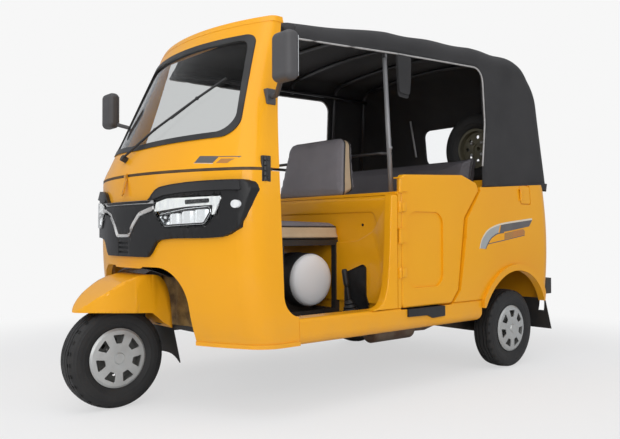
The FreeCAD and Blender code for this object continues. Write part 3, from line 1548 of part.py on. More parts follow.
def make_cover(cx, cy, cz, side):
    face_x = cover_standoff
    t = cover_thickness
    dome = cover_dome
    r = cover_radius
    profile = [vec(face_x, 0, r), vec(face_x + dome * 0.55, 0, r * 0.93),
               vec(face_x + dome * 0.85, 0, r * 0.72),
               vec(face_x + dome, 0, cover_boss_radius),
               vec(face_x + dome + cover_boss_height, 0, cover_boss_radius * 0.85),
               vec(face_x + dome + cover_boss_height, 0, 0), vec(face_x + dome - t, 0, 0),
               vec(face_x + dome - t, 0, cover_boss_radius), vec(face_x + dome * 0.85 - t, 0, r * 0.70),
               vec(face_x + dome * 0.55 - t, 0, r * 0.90), vec(face_x - t * 0.6, 0, r * 0.97),
               vec(face_x - t * 0.6, 0, r)]
    cover = turned(profile, vec(0, 0, 0), vec(1, 0, 0))
    skirt = [vec(rim_width / 2 + seat_gap, 0, cover_skirt_radius),
             vec(face_x + dome * 0.5, 0, cover_skirt_radius),
             vec(face_x + dome * 0.5, 0, cover_skirt_radius - cover_skirt_wall),
             vec(rim_width / 2 + seat_gap, 0, cover_skirt_radius - cover_skirt_wall)]
    cover = fuse([cover, turned(skirt, vec(0, 0, 0), vec(1, 0, 0))])
    inner = cover_window_inner
    outer = cover_window_outer
    wide = math.radians(cover_window_half_angle)
    for i in range(cover_windows):
        angle = 360.0 * i / cover_windows
        points = []
        for radius, turn in ((inner, -0.75), (outer, -1.0), (outer, 1.0), (inner, 0.75)):
            points.append(vec(face_x - overrun, radius * math.sin(wide * turn),
                              radius * math.cos(wide * turn)))
        cut = plate(points, cover_thickness, vec(overrun * 2, 0, 0))
        cut.rotate(vec(0, 0, 0), vec(1, 0, 0), angle)
        cover = cover.cut(cut)
    if side < 0:
        cover = mirror_x0(cover)
    return cover.translated(vec(cx, cy, cz))


# Front fork: column, one-sided arm, leading link, stub axle and damper
def make_front_fork():
    low = steer_point(fork_crown_z)
    high = steer_point(bar_z - bar_cowl_height / 2)
    column = rod(low, high, column_radius)
    arm_top = vec(fork_arm_x, low.y, fork_crown_z)
    pivot = vec(fork_arm_x, fork_pivot_y, fork_pivot_z)
    crown = rod(vec(fork_arm_x - fork_arm_half, low.y, fork_crown_z),
                vec(column_radius, low.y, fork_crown_z),
                column_radius)
    d = fork_arm_depth / 2
    arm = plate_yz([(low.y - d, fork_crown_z + d * 0.6), (low.y + d, fork_crown_z + d * 0.6),
                    (low.y + d * 1.2, span(fork_pivot_z, fork_crown_z, 0.5)),
                    (fork_pivot_y + d, fork_pivot_z - d * 0.8),
                    (fork_pivot_y - d * 0.6, fork_pivot_z - d * 0.8),
                    (low.y - d * 0.8, span(fork_pivot_z, fork_crown_z, 0.5))],
                   d * 0.5, fork_arm_x - fork_arm_half, fork_arm_x + fork_arm_half)
    link = plate_yz([(fork_pivot_y + link_height / 2, fork_pivot_z - link_height / 2),
                     (fork_pivot_y + link_height / 2, fork_pivot_z + link_height / 2),
                     (front_axle_y - link_height / 2, axle_z + link_height / 2),
                     (front_axle_y - link_height / 2, axle_z - link_height / 2)], link_height * 0.4,
                    fork_arm_x - fork_arm_half - link_half * 2, fork_arm_x - fork_arm_half)
    stub = rod(vec(fork_arm_x - fork_arm_half - link_half * 2, front_axle_y, axle_z),
               vec(rim_width * 0.075, front_axle_y, axle_z), axle_radius)
    drum_back = rod(vec(fork_arm_x - fork_arm_half, front_axle_y, axle_z),
                    vec(-rim_width / 2 - drum_gap, front_axle_y, axle_z), drum_radius)
    pin = rod(vec(fork_arm_x - fork_arm_half - link_half * 2, fork_pivot_y, fork_pivot_z),
              vec(fork_arm_x + fork_arm_half, fork_pivot_y, fork_pivot_z), link_height * 0.3)
    return fuse([column, crown, arm, link, stub, drum_back, pin])


# Handlebar with its centre cowl and grips
def make_handlebar():
    centre = steer_point(bar_z)
    lift = vec(0, math.sin(math.radians(rake_deg)), math.cos(math.radians(rake_deg)))
    cowl = soft_box(-bar_cowl_half, bar_cowl_half, centre.y - bar_cowl_depth / 2,
                    centre.y + bar_cowl_depth / 2,
                    bar_z - bar_cowl_height / 2, bar_z + bar_cowl_height / 2, bar_cowl_height * 0.3)
    pieces = [cowl]
    for side in (-1, 1):
        inner = vec(side * bar_cowl_half * 0.6, centre.y, bar_z)
        knee = vec(side * bar_half * 0.55, centre.y + bar_sweep * 0.2, bar_z + bar_rise)
        end = vec(side * bar_half, centre.y + bar_sweep, bar_z + bar_rise)
        pieces.append(pipe([inner, knee, end], bar_radius, bar_half * 0.3))
        back = (knee - end).normalize()
        pieces.append(rod(end + back * grip_length, end, grip_radius))
    column = rod(steer_point(fork_crown_z), steer_point(bar_z - bar_cowl_height / 2), column_radius)
    return fuse(pieces).cut(column)


# Front mudguard: a domed shell, pointed in front
def guard_side(inset):
    top = share_points(guard_side_shares, guard_rear_y, -guard_length, guard_base_z, guard_height)
    low = share_points(guard_low_shares, guard_rear_y, -guard_length, guard_base_z, guard_height)
    return top, low


def guard_solid(inset, drop):
    top, low = guard_side(0)
    middle_y = guard_rear_y - guard_length * 0.45
    middle_z = guard_base_z + guard_height * 0.3

    def pull(point, amount):
        y, z = point
        dy, dz = middle_y - y, middle_z - z
        length = math.hypot(dy, dz)
        return (y + dy / length * amount, z + dz / length * amount)

    curve = Part.BSplineCurve()
    arch = [vec(0, *pull(p, inset)) for p in top]
    curve.interpolate(arch)
    if drop:
        bottom = [vec(0, arch[-1].y, guard_base_z - overrun), vec(0, arch[0].y, guard_base_z - overrun)]
    else:
        bottom = [vec(0, y, z) for y, z in low]
    edges = [curve.toShape()]
    chain = [arch[-1]] + bottom + [arch[0]]
    for a, b in zip(chain[:-1], chain[1:]):
        edges.append(Part.LineSegment(a, b).toShape())
    face = Part.Face(Part.Wire(edges))
    half = guard_half - inset
    face.translate(vec(-half, 0, 0))
    solid = face.extrude(vec(half * 2, 0, 0))
    plan_right = [vec(half * wide, guard_rear_y - guard_length * along, 0) for along,
                  wide in guard_plan_shares]
    plan = Part.BSplineCurve()
    tip = vec(0, guard_rear_y - guard_length - overrun * 0.05 + inset * 1.5, 0)
    plan.interpolate([plan_right[0] + vec(0, overrun, 0)] + plan_right[1:] + [tip])
    left = [vec(-p.x, p.y, 0) for p in [plan_right[0] + vec(0, overrun, 0)] + plan_right[1:]]
    plan_left = Part.BSplineCurve()
    plan_left.interpolate([tip] + left[::-1])
    back = Part.LineSegment(left[0], plan_right[0] + vec(0, overrun, 0)).toShape()
    flat = Part.Face(Part.Wire([plan.toShape(), plan_left.toShape(), back]))
    block = flat.extrude(vec(0, 0, overall_height))
    solid = solid.common(block)
    rim = []
    for edge in solid.Edges:
        box_ = edge.BoundBox
        if box_.ZMax > guard_base_z + guard_height * 0.8 and box_.YLength > guard_length * 0.5:
            rim.append(edge)
    try_radius = guard_crown - inset
    if rim:
        solid = solid.makeFillet(try_radius, rim)
    return solid


def make_front_mudguard():
    outer = guard_solid(0, False)
    inner = guard_solid(guard_thickness, True)
    shell = outer.cut(inner)
    shell = max(shell.Solids, key=lambda s: s.Volume)
    hole = rod(steer_point(fork_crown_z - overrun), steer_point(fork_crown_z + overrun * 2),
               column_radius + seat_gap)
    return shell.cut(hole)


def make_front_mudflap():
    top_z = guard_base_z + guard_height * 0.12
    y = guard_rear_y - guard_length * 0.045
    t = front_flap_thickness
    side = [(y, top_z), (y + front_flap_lean, top_z - front_flap_height),
            (y + front_flap_lean - t, top_z - front_flap_height),
            (y - t, top_z)]
    return plate_yz(side, 0, -front_flap_width / 2, front_flap_width / 2)


# Rear suspension and drive
def trailing_arm_plate():
    return plate_yz([(arm_pivot_y - arm_height / 2, arm_pivot_z - arm_height / 2),
                    (arm_pivot_y - arm_height / 2, arm_pivot_z + arm_height / 2),
                    (rear_axle_y, axle_z + arm_height * 0.75),
                     (rear_axle_y + arm_height, axle_z + arm_height * 0.3),
                    (rear_axle_y + arm_height, axle_z - arm_height * 0.5),
                     (rear_axle_y - arm_height, axle_z - arm_height * 0.6)],
                    arm_height * 0.3, arm_x - arm_half, arm_x + arm_half)


def make_trailing_arms():
    arm = trailing_arm_plate()
    knuckle = rod(vec(arm_x, rear_axle_y, axle_z),
                  vec(rear_track_half - rim_width / 2 - drum_gap, rear_axle_y, axle_z),
                  knuckle_half)
    drum = rod(vec(rear_track_half - rim_width / 2 - drum_gap - drum_width, rear_axle_y, axle_z),
               vec(rear_track_half - rim_width / 2 - drum_gap, rear_axle_y, axle_z), drum_radius)
    stub = rod(vec(arm_x, rear_axle_y, axle_z),
               vec(rear_track_half + rim_width * 0.075, rear_axle_y, axle_z), axle_radius)
    shaft = rod(vec(engine_half + seat_gap, rear_axle_y, axle_z + arm_height * 0.3),
                vec(arm_x, rear_axle_y, axle_z), shaft_radius)
    whole = fuse([arm, knuckle, drum, stub, shaft])
    return both_sides(whole.cut(box(0, engine_half + seat_gap, engine_front_y, engine_back_y, 0,
                                    engine_top_z)))


def make_rear_dampers():
    low = vec(rear_damper_x, rear_damper_y, axle_z + arm_height * 0.75)
    top = vec(rear_damper_x, rear_damper_y, rear_damper_top_z - seat_gap)
    foot_z = axle_z + arm_height * 0.75
    low.z = foot_z
    body = rod(vec(low.x, low.y, span(low.z, top.z, 0.40)), vec(top.x, top.y, span(low.z, top.z, 0.92)),
               rear_damper_radius)
    thin = rod(low, top, rear_damper_radius * 0.45)
    spring = rod(vec(low.x, low.y, span(low.z, top.z, 0.14)), vec(top.x, top.y, span(low.z, top.z, 0.40)),
                 rear_damper_radius * 1.15)
    damper = fuse([thin, body, spring]).cut(trailing_arm_plate())
    return both_sides(damper)


def make_engine_block():
    block = box(-engine_half, engine_half, engine_front_y, engine_back_y, engine_low_z, engine_top_z)
    return block.makeFillet(engine_round, edges_along(block, vec(0, 1, 0)))


def make_silencer():
    start = vec(silencer_x, silencer_y - silencer_length / 2, silencer_z)
    end = start + vec(0, silencer_length, 0)
    can = rod(start, end, silencer_radius)
    can = can.makeFillet(silencer_radius * 0.3, [e for e in can.Edges if isinstance(e.Curve, Part.Circle)])
    tail = rod(start - vec(0, silencer_radius, 0), start + vec(0, silencer_radius, 0), silencer_pipe * 0.7)
    low = silencer_z - silencer_pipe * 0.3
    inlet = pipe([end - vec(0, silencer_radius, 0), vec(silencer_x, arm_pivot_y, low),
                  vec(rail_x, span(arm_pivot_y, engine_front_y, 0.7), low),
                  vec(engine_half * 0.7, engine_front_y - silencer_pipe * 2, low + silencer_pipe),
                  vec(engine_half * 0.7, engine_front_y + silencer_pipe, low + silencer_pipe * 2)],
                 silencer_pipe,
                 silencer_radius)
    return fuse([can, tail, inlet]).cut(make_engine_block())


# Mirrors on the front pillars
def make_mirrors():
    w = mirror_width / 2
    h = mirror_height / 2
    head = soft_box(mirror_x - w, mirror_x + w, mirror_y - mirror_depth / 2, mirror_y + mirror_depth / 2,
                    mirror_z - h,
                    mirror_z + h, mirror_round)
    glass_cut = soft_box(mirror_x - w * 0.82, mirror_x + w * 0.82, mirror_y + mirror_depth / 2 - panel_gap,
                         mirror_y + mirror_depth, mirror_z - h * 0.85, mirror_z + h * 0.85, mirror_round / 3)
    head = head.cut(glass_cut)
    share = (mirror_foot_z - seam_z) / (header_z - seam_z)
    side_x = upper_half(share)
    foot_y = span(pillar_low_y, pillar_top_y, share) - mirror_foot_depth * 0.9
    foot = soft_box(side_x - mirror_foot_thickness, side_x + mirror_foot_thickness * 0.6,
                    foot_y - mirror_foot_depth / 2,
                    foot_y + mirror_foot_depth / 2, mirror_foot_z - mirror_foot_height / 2,
                    mirror_foot_z + mirror_foot_height / 2, panel_gap)
    arm = pipe([vec(side_x, foot_y, mirror_foot_z),
                vec(side_x + mirror_foot_thickness * 2, foot_y, mirror_foot_z),
                vec(mirror_x - w * 0.3, mirror_y, mirror_z - h * 0.7)], mirror_arm_radius,
               mirror_foot_thickness)
    mirror = fuse([head, foot, arm])
    mirror = mirror.cut(upper_solid(-seat_gap, pillar_top_y + overrun, 0))
    mirror = max(mirror.Solids, key=lambda s: s.Volume)
    return both_sides(mirror)


def make_parking_brake():
    boot = Part.makeCone(brake_boot_half, brake_boot_half * 0.45, brake_boot_height,
                         vec(brake_x, brake_y, floor_top_z))
    start = vec(brake_x, brake_y, floor_top_z + brake_boot_height * 0.8)
    end = vec(brake_x, brake_y - brake_lever_reach * 0.5, floor_top_z + brake_lever_rise)
    along = (end - start).normalize()
    lever = rod(start, end, brake_lever_radius)
    grip = rod(end - along * brake_lever_reach * 0.4, end + along * brake_grip_radius, brake_grip_radius)
    return fuse([boot, lever, grip])


def make_tail_lamps():
    block = plate_xz([(tail_lamp_x - tail_lamp_half, tail_lamp_low_z),
                      (tail_lamp_x + tail_lamp_half, tail_lamp_low_z),
                      (tail_lamp_x + tail_lamp_half, tail_lamp_low_z + tail_lamp_height),
                      (tail_lamp_x - tail_lamp_half, tail_lamp_low_z + tail_lamp_height)],
                     tail_lamp_half * 0.4,
                     rear_back_y - rear_corner * 2, overall_length)
    lens = block.common(rear_solid(-tail_lamp_proud, side_front_y, rear_low_z, belt_back_z))
    lens = lens.cut(rear_solid(-seat_gap, side_front_y - overrun, rear_low_z - overrun,
                               belt_back_z + overrun))
    lens = max(lens.Solids, key=lambda s: s.Volume)
    return both_sides(lens)


def make_rear_bumper():
    z0 = bumper_low_z
    z1 = bumper_low_z + bumper_height
    outer_y = rear_end_y
    inner_y = rear_end_y - bumper_depth
    points = [(-bumper_half, inner_y - bumper_bend), (-bumper_half, outer_y - bumper_bend * 0.5),
              (-bumper_half + bumper_bend, outer_y), (bumper_half - bumper_bend, outer_y),
              (bumper_half, outer_y - bumper_bend * 0.5), (bumper_half, inner_y - bumper_bend),
              (bumper_half - bumper_depth, inner_y - bumper_bend),
              (bumper_half - bumper_depth - bumper_bend * 0.4, inner_y),
              (-bumper_half + bumper_depth + bumper_bend * 0.4, inner_y),
              (-bumper_half + bumper_depth, inner_y - bumper_bend)]
    bar = plate_xy(points, bumper_bend * 0.3, z0, z1)
    brackets = []
    for side in (-1, 1):
        x = side * rail_x
        brackets.append(box(x - rail_half / 2, x + rail_half / 2, rail_back_y + seat_gap,
                            inner_y + bumper_depth / 4,
                            rail_top_z - rail_half, rail_top_z))
        brackets.append(box(x - rail_half / 2, x + rail_half / 2, inner_y - bumper_depth,
                            inner_y + bumper_depth / 2,
                            rail_top_z - rail_half, z0 + bumper_height / 4))
    bar = fuse([bar] + brackets)
    return bar.cut(rear_solid(-seat_gap, side_front_y, rear_low_z, belt_back_z))


def make_rear_mudflaps():
    t = rear_flap_thickness
    y = rear_flap_y
    side = [(y, rear_flap_top_z), (y + rear_flap_lean, rear_flap_top_z - rear_flap_height),
            (y + rear_flap_lean - t, rear_flap_top_z - rear_flap_height), (y - t, rear_flap_top_z)]
    flap = plate_yz(side, 0, rear_track_half - rear_flap_half, rear_track_half + rear_flap_half)
    flap = flap.cut(rear_solid(-seat_gap, side_front_y, rear_low_z - overrun, belt_back_z).cut(
        rear_solid(rear_wall + seat_gap, side_front_y, rear_low_z - overrun, belt_back_z)))
    flap = min(flap.Solids, key=lambda s: s.BoundBox.ZMin)
    return both_sides(flap)


def make_all():
    keep("front_shield", make_front_shield())
    keep("lamp_mask", make_lamp_mask())
    keep("mask_strip", make_mask_strip())
    keep("headlamps", make_headlamps())
    keep("side_lamps", make_side_lamps())
    keep("windscreen_frame", make_windscreen_frame())
    keep("windscreen_gasket", make_windscreen_gasket())
    keep("windscreen_glass", make_windscreen_glass())
    keep("wiper", make_wiper())
    keep("dashboard", make_dashboard())
    keep("floor_pan", make_floor_pan())
    keep("underframe", make_underframe())
    keep("steering_head", make_steering_head())
    keep("sills", make_sills())
    keep("side_step", make_side_step())
    keep("bulkhead", make_bulkhead())
    left, right, panel, shell = make_rear_pieces()
    keep("rear_quarter_left", left)
    keep("rear_quarter_right", right)
    keep("rear_panel", panel)
    keep("engine_hatch", make_engine_hatch(shell))
    keep("fuel_flap", make_fuel_flap())
    keep("passenger_door", make_passenger_door())
    keep("bench_frame", make_bench_frame())
    keep("driver_cushion", soft_box(-cushion_half, cushion_half, bulk_y - cushion_length,
                                    bulk_y - seat_gap * 3,
                                    cushion_low_z, cushion_low_z + cushion_height, cushion_round))
    keep("driver_backrest", make_driver_backrest())
    keep("driver_seat_frame", make_driver_seat_frame())
    keep("gas_cylinder", make_gas_cylinder())
    keep("bench_cushion", soft_box(-bench_half, bench_half, bench_front_y, bench_front_y + bench_length,
                                   bench_low_z,
                                   bench_low_z + bench_height, cushion_round))
    keep("bench_backrest", make_bench_backrest())
    keep("hood", make_hood())
    keep("rear_window", make_rear_window())
    keep("hood_frame", make_hood_frame())
    spare_z = deck_z + tyre_radius + seat_gap
    for name, maker in (("spare_tyre", make_tyre), ("spare_rim", make_rim)):
        shape = maker(0, 0, 0, 1)
        shape.rotate(vec(0, 0, 0), vec(0, 0, 1), -90)
        keep(name, shape.translated(vec(spare_x, spare_y, spare_z)))
    wheels = (("front", 0, front_axle_y, 1), ("rear_left", rear_track_half, rear_axle_y, 1),
              ("rear_right", -rear_track_half, rear_axle_y, -1))
    for name, x, y, side in wheels:
        keep(name + "_tyre", make_tyre(x, y, axle_z, side))
        keep(name + "_rim", make_rim(x, y, axle_z, side))
        keep(name + "_wheel_cover", make_cover(x, y, axle_z, side))
    keep("front_fork", make_front_fork())
    keep("handlebar", make_handlebar())
    keep("front_mudguard", make_front_mudguard())
    keep("front_mudflap", make_front_mudflap())
    keep("trailing_arms", make_trailing_arms())
    keep("rear_dampers", make_rear_dampers())
    keep("engine_block", make_engine_block())
    keep("silencer", make_silencer())
    keep("mirrors", make_mirrors())
    keep("parking_brake", make_parking_brake())
    keep("tail_lamps", make_tail_lamps())
    keep("rear_bumper", make_rear_bumper())
    keep("rear_mudflaps", make_rear_mudflaps())


os.makedirs("parts", exist_ok=True)
make_all()
for name, shape in bodies.items():
    shape.exportStep("parts/" + name + ".step")
    size = shape.BoundBox
    print(name, len(shape.Solids), round(shape.Volume / 1000), shape.isValid(), [round(v) for v in (
        size.XMin, size.XMax, size.YMin, size.YMax, size.ZMin, size.ZMax)])
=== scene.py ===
# %% [markdown]
# # A three-wheeled passenger auto rickshaw
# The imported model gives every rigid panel, tube and wheel at its real place.
# This lesson dresses it: finishes for each panel, soft pieces for the seats and
# the canopy, and the small parts that a coach builder fits last.

# %% Load the model
import bpy
import bmesh
import math
import numpy as np
from mathutils import Matrix, Vector, noise
from mathutils.bvhtree import BVHTree


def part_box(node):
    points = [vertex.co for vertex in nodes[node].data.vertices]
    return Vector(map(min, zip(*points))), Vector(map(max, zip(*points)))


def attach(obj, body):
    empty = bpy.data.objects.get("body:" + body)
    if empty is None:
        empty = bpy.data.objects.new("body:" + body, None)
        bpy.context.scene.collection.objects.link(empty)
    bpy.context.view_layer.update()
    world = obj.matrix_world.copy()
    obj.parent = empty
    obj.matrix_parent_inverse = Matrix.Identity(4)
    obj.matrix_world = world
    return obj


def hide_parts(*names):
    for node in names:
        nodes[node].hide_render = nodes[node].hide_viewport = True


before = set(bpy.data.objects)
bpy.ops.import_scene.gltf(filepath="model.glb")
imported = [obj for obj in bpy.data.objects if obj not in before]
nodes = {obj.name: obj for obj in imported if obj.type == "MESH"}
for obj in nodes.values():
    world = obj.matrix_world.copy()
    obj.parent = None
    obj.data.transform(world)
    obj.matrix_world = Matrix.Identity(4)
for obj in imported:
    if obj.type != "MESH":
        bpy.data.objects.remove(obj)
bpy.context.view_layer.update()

# %% [markdown]
# ## The camera
# The photograph was taken from the front left at the height of a standing
# person's waist. A camera is a point, a direction and a focal length, so it is
# set with those three and no shift. Its direction is found by trigonometry from
# an azimuth and a slight upward tilt, which keeps the wheels on the floor line.

# %% Place the camera
view_point = Vector((2.693, -2.361, 0.717))
view_turn = math.radians(49.08)
view_tilt = math.radians(1.21)
view_roll = math.radians(-0.11)

camera_data = bpy.data.cameras.new("photo_camera")
camera = bpy.data.objects.new("photo_camera", camera_data)
bpy.context.collection.objects.link(camera)
bpy.context.scene.camera = camera
camera_data.sensor_width = 36.0
camera_data.lens = 681.5 / 620 * 36.0
camera.location = view_point
camera.rotation_euler = (Matrix.Rotation(view_turn, 3, "Z")
                         @ Matrix.Rotation(math.pi / 2 + view_tilt, 3, "X")
                         @ Matrix.Rotation(view_roll, 3, "Z")).to_euler()
print("lens in mm:", round(camera_data.lens, 1))

# %% [markdown]
# ## Floor, backdrop and light
# A studio picture of a vehicle has a pale floor that runs into a pale wall, one
# large soft light above and a weaker one from each side. The floor's own colour
# makes the background white, and the lamps stay modest so that the yellow paint
# keeps its colour.

# %% Lay the floor
floor_mesh = bpy.data.meshes.new("studio_floor")
bm = bmesh.new()
bmesh.ops.create_grid(bm, x_segments=1, y_segments=1, size=40.0)
bm.to_mesh(floor_mesh)
bm.free()
studio_floor = bpy.data.objects.new("studio_floor", floor_mesh)
bpy.context.collection.objects.link(studio_floor)

floor_finish = bpy.data.materials.new("studio_floor_paint")
floor_finish.use_nodes = True
floor_tree = floor_finish.node_tree
floor_shader = floor_tree.nodes["Principled BSDF"]
floor_shader.inputs["Base Color"].default_value = (0.80, 0.80, 0.80, 1)
floor_shader.inputs["Roughness"].default_value = 0.7
floor_shader.inputs["Specular IOR Level"].default_value = 0.15
floor_mesh.materials.append(floor_finish)

# %% Fade the floor into the backdrop
backdrop_white = (0.93, 0.93, 0.93, 1)
fade_start, fade_end, near_share = 1.7, 3.4, 0.62


def seen_rays(tree):
    """1 for rays that reach the camera straight or through glass."""
    kind = tree.nodes.new("ShaderNodeLightPath")
    seen = tree.nodes.new("ShaderNodeMath")
    seen.operation = "MAXIMUM"
    tree.links.new(kind.outputs["Is Camera Ray"], seen.inputs[0])
    tree.links.new(kind.outputs["Is Transmission Ray"], seen.inputs[1])
    return seen.outputs[0]


def blend_shaders(tree, share, first, second, out):
    """Mixes two shaders by a share into an output."""
    mixer = tree.nodes.new("ShaderNodeMixShader")
    tree.links.new(share, mixer.inputs[0])
    tree.links.new(first.outputs[0], mixer.inputs[1])
    tree.links.new(second.outputs[0], mixer.inputs[2])
    tree.links.new(mixer.outputs[0], out.inputs["Surface"])


floor_glow = floor_tree.nodes.new("ShaderNodeEmission")
floor_glow.inputs["Color"].default_value = backdrop_white
floor_place = floor_tree.nodes.new("ShaderNodeTexCoord")
floor_reach = floor_tree.nodes.new("ShaderNodeVectorMath")
floor_reach.operation = "LENGTH"
floor_fade = floor_tree.nodes.new("ShaderNodeMapRange")
floor_fade.interpolation_type = "SMOOTHSTEP"
for socket, value in (("From Min", fade_start), ("From Max", fade_end), ("To Min", near_share)):
    floor_fade.inputs[socket].default_value = value
floor_share = floor_tree.nodes.new("ShaderNodeMath")
floor_share.operation = "MULTIPLY"
floor_tree.links.new(floor_place.outputs["Object"], floor_reach.inputs[0])
floor_tree.links.new(floor_reach.outputs["Value"], floor_fade.inputs["Value"])
floor_tree.links.new(seen_rays(floor_tree), floor_share.inputs[0])
floor_tree.links.new(floor_fade.outputs["Result"], floor_share.inputs[1])
blend_shaders(floor_tree, floor_share.outputs[0], floor_shader, floor_glow, floor_tree.nodes["Material Output"])

# %% Light the studio
world = bpy.data.worlds.new("studio_air")
bpy.context.scene.world = world
world.use_nodes = True
air = world.node_tree
air.nodes.clear()
soft_air, white_air = (air.nodes.new("ShaderNodeBackground") for k in range(2))
for shader, colour, strength in ((soft_air, (0.93, 0.95, 1.0, 1), 0.55), (white_air, backdrop_white, 1.0)):
    shader.inputs["Color"].default_value = colour
    shader.inputs["Strength"].default_value = strength
blend_shaders(air, seen_rays(air), soft_air, white_air, air.nodes.new("ShaderNodeOutputWorld"))


def soft_lamp(name, place, target, size, power):
    """A rectangular lamp that looks at a target."""
    data = bpy.data.lights.new(name, "AREA")
    data.shape = "RECTANGLE"
    data.size, data.size_y = size
    data.energy = power
    lamp = bpy.data.objects.new(name, data)
    lamp.location = place
    lamp.rotation_euler = (Vector(target) - Vector(place)).to_track_quat("-Z", "Y").to_euler()
    bpy.context.collection.objects.link(lamp)
    return lamp


soft_lamp("overhead_softbox", (1.0, -1.6, 4.6), (0.0, -0.2, 0.6), (4.0, 4.0), 70)
soft_lamp("left_softbox", (4.6, 1.2, 2.6), (0.4, 0.2, 0.8), (2.4, 3.0), 26)
soft_lamp("front_softbox", (-1.6, -5.0, 2.4), (0.0, -0.8, 0.8), (2.6, 3.0), 24)
soft_lamp("camera_fill", (3.6, -3.6, 1.9), (0.2, -0.2, 0.8), (2.6, 2.0), 68)

# %% [markdown]
# ## Finishes
# Every finish is a Principled shader with some noise behind its colour, its
# roughness and its bump. One helper makes the shader, one spreads a second
# colour in soft patches, one lays dust on what is near the road, and one adds a
# fine bump. All patterns read Object coordinates, in metres, so they stay on the
# panel when it moves and have the same scale everywhere.

# %% Helpers for finishes
class Finish:
    """A Principled material with its tree at hand."""

    def __init__(self, name, colour, rough, metal=0.0):
        self.material = bpy.data.materials.new(name)
        self.material.use_nodes = True
        self.tree = self.material.node_tree
        self.shader = self.tree.nodes["Principled BSDF"]
        self.colour = colour
        self.shade = None
        self.bump = None
        self.put("Base Color", (*colour, 1))
        self.put("Roughness", rough)
        self.put("Metallic", metal)
        self.rough = rough
        self.place = self.tree.nodes.new("ShaderNodeTexCoord").outputs["Object"]

    def put(self, socket, value):
        """Sets one input of the shader."""
        self.shader.inputs[socket].default_value = value
        return self

    def node(self, kind, **settings):
        """A new node with some of its inputs or settings set."""
        made = self.tree.nodes.new("ShaderNode" + kind)
        for key, value in settings.items():
            if key in made.inputs:
                made.inputs[key].default_value = value
            else:
                setattr(made, key, value)
        return made

    def link(self, a, b):
        self.tree.links.new(a, b)

    def cloud(self, scale, detail=3.0, stretch=(1, 1, 1), low=0.4, high=0.6):
        """Soft noise in metres as a 0 to 1 mask."""
        frame_map = self.node("Mapping")
        frame_map.inputs["Scale"].default_value = stretch
        self.link(self.place, frame_map.inputs["Vector"])
        grain = self.node("TexNoise", Scale=scale, Detail=detail, Roughness=0.55)
        self.link(frame_map.outputs[0], grain.inputs["Vector"])
        edge = self.node("MapRange")
        edge.inputs["From Min"].default_value = low
        edge.inputs["From Max"].default_value = high
        self.link(grain.outputs["Fac"], edge.inputs["Value"])
        return edge.outputs["Result"]

    def mix(self, colour, mask, amount=1.0):
        """Mixes a second colour in where the mask is high."""
        mixer = self.node("Mix", data_type="RGBA")
        self.link(self.times(mask, amount), mixer.inputs["Factor"])
        if self.shade is None:
            mixer.inputs[6].default_value = (*self.colour, 1)
        else:
            self.link(self.shade, mixer.inputs[6])
        mixer.inputs[7].default_value = (*colour, 1)
        self.shade = mixer.outputs[2]
        self.link(self.shade, self.shader.inputs["Base Color"])
        return self

    def tint(self, colour, amount, scale, detail=3.0, **how):
        """Spreads a second colour in soft patches."""
        return self.mix(colour, self.cloud(scale, detail, **how), amount)

    def dull(self, rough, scale):
        """Changes the roughness in soft patches."""
        spread = self.node("MapRange")
        spread.inputs["To Min"].default_value = self.rough
        spread.inputs["To Max"].default_value = rough
        self.link(self.cloud(scale), spread.inputs["Value"])
        self.link(spread.outputs["Result"], self.shader.inputs["Roughness"])
        return self

    def height(self, top, fade):
        """1 at the road, falling to 0 at the height top, in metres."""
        parts = self.node("SeparateXYZ")
        self.link(self.place, parts.inputs[0])
        ramp = self.node("MapRange")
        ramp.inputs["From Min"].default_value = top
        ramp.inputs["From Max"].default_value = top - fade
        self.link(parts.outputs["Z"], ramp.inputs["Value"])
        return ramp.outputs["Result"]

    def times(self, mask, share):
        """A mask times a number or another mask."""
        product = self.node("Math", operation="MULTIPLY")
        self.link(mask, product.inputs[0])
        if isinstance(share, float):
            product.inputs[1].default_value = share
        else:
            self.link(share, product.inputs[1])
        return product.outputs[0]

    def dust(self, top, fade, colour=(0.36, 0.27, 0.18), amount=0.5):
        """Lays road dust on what is near the ground."""
        mask = self.times(self.height(top, fade), self.cloud(7.0, 5.0, low=0.35, high=0.7))
        return self.mix(colour, mask, amount)

    def rise(self, distance, scale, detail=3.0):
        """Adds a fine bump of that height in metres."""
        lift = self.node("Bump", Distance=distance, Strength=1.0)
        self.link(self.cloud(scale, detail), lift.inputs["Height"])
        if self.bump is not None:
            self.link(self.bump, lift.inputs["Normal"])
        self.bump = lift.outputs["Normal"]
        self.link(self.bump, self.shader.inputs["Normal"])
        return self

    def give(self, names):
        """Puts the finish on some of the model's own pieces."""
        for name in names.split():
            for slot in nodes[name].material_slots:
                slot.material = self.material
        return self


# %% [markdown]
# ## Body paint
# The panels are pressed steel in a warm yellow with a clear top coat. Sprayed
# paint has a faint orange-peel skin, which shows only in its reflections, and
# road dust greys it a little near the sills.

# %% Body paint
yellow_paint = (Finish("yellow_body_paint", (0.86, 0.385, 0.006), 0.42)
                .put("Coat Weight", 0.35).put("Coat Roughness", 0.10).put("Specular IOR Level", 0.18)
                .tint((0.80, 0.33, 0.008), 0.35, 1.6, 2.0).dust(0.42, 0.2, amount=0.22).rise(0.00003, 260.0, 2.0)
                .give("front_shield windscreen_frame sills bulkhead rear_quarter_left rear_quarter_right "
                      "rear_panel engine_hatch fuel_flap passenger_door front_mudguard bench_frame"))

# %% [markdown]
# ## Black plastics and rubber
# The lamp mask and the mirrors are moulded plastic with a fine grain. The
# gasket is softer and duller, and the mudflaps are plain rubber with dust.

# %% Plastics and rubber
(Finish("dashboard_plastic", (0.016, 0.016, 0.017), 0.52)
 .dull(0.66, 5.0).rise(0.0001, 700.0, 2.0)
 .give("dashboard side_step tail_lamps parking_brake handlebar"))

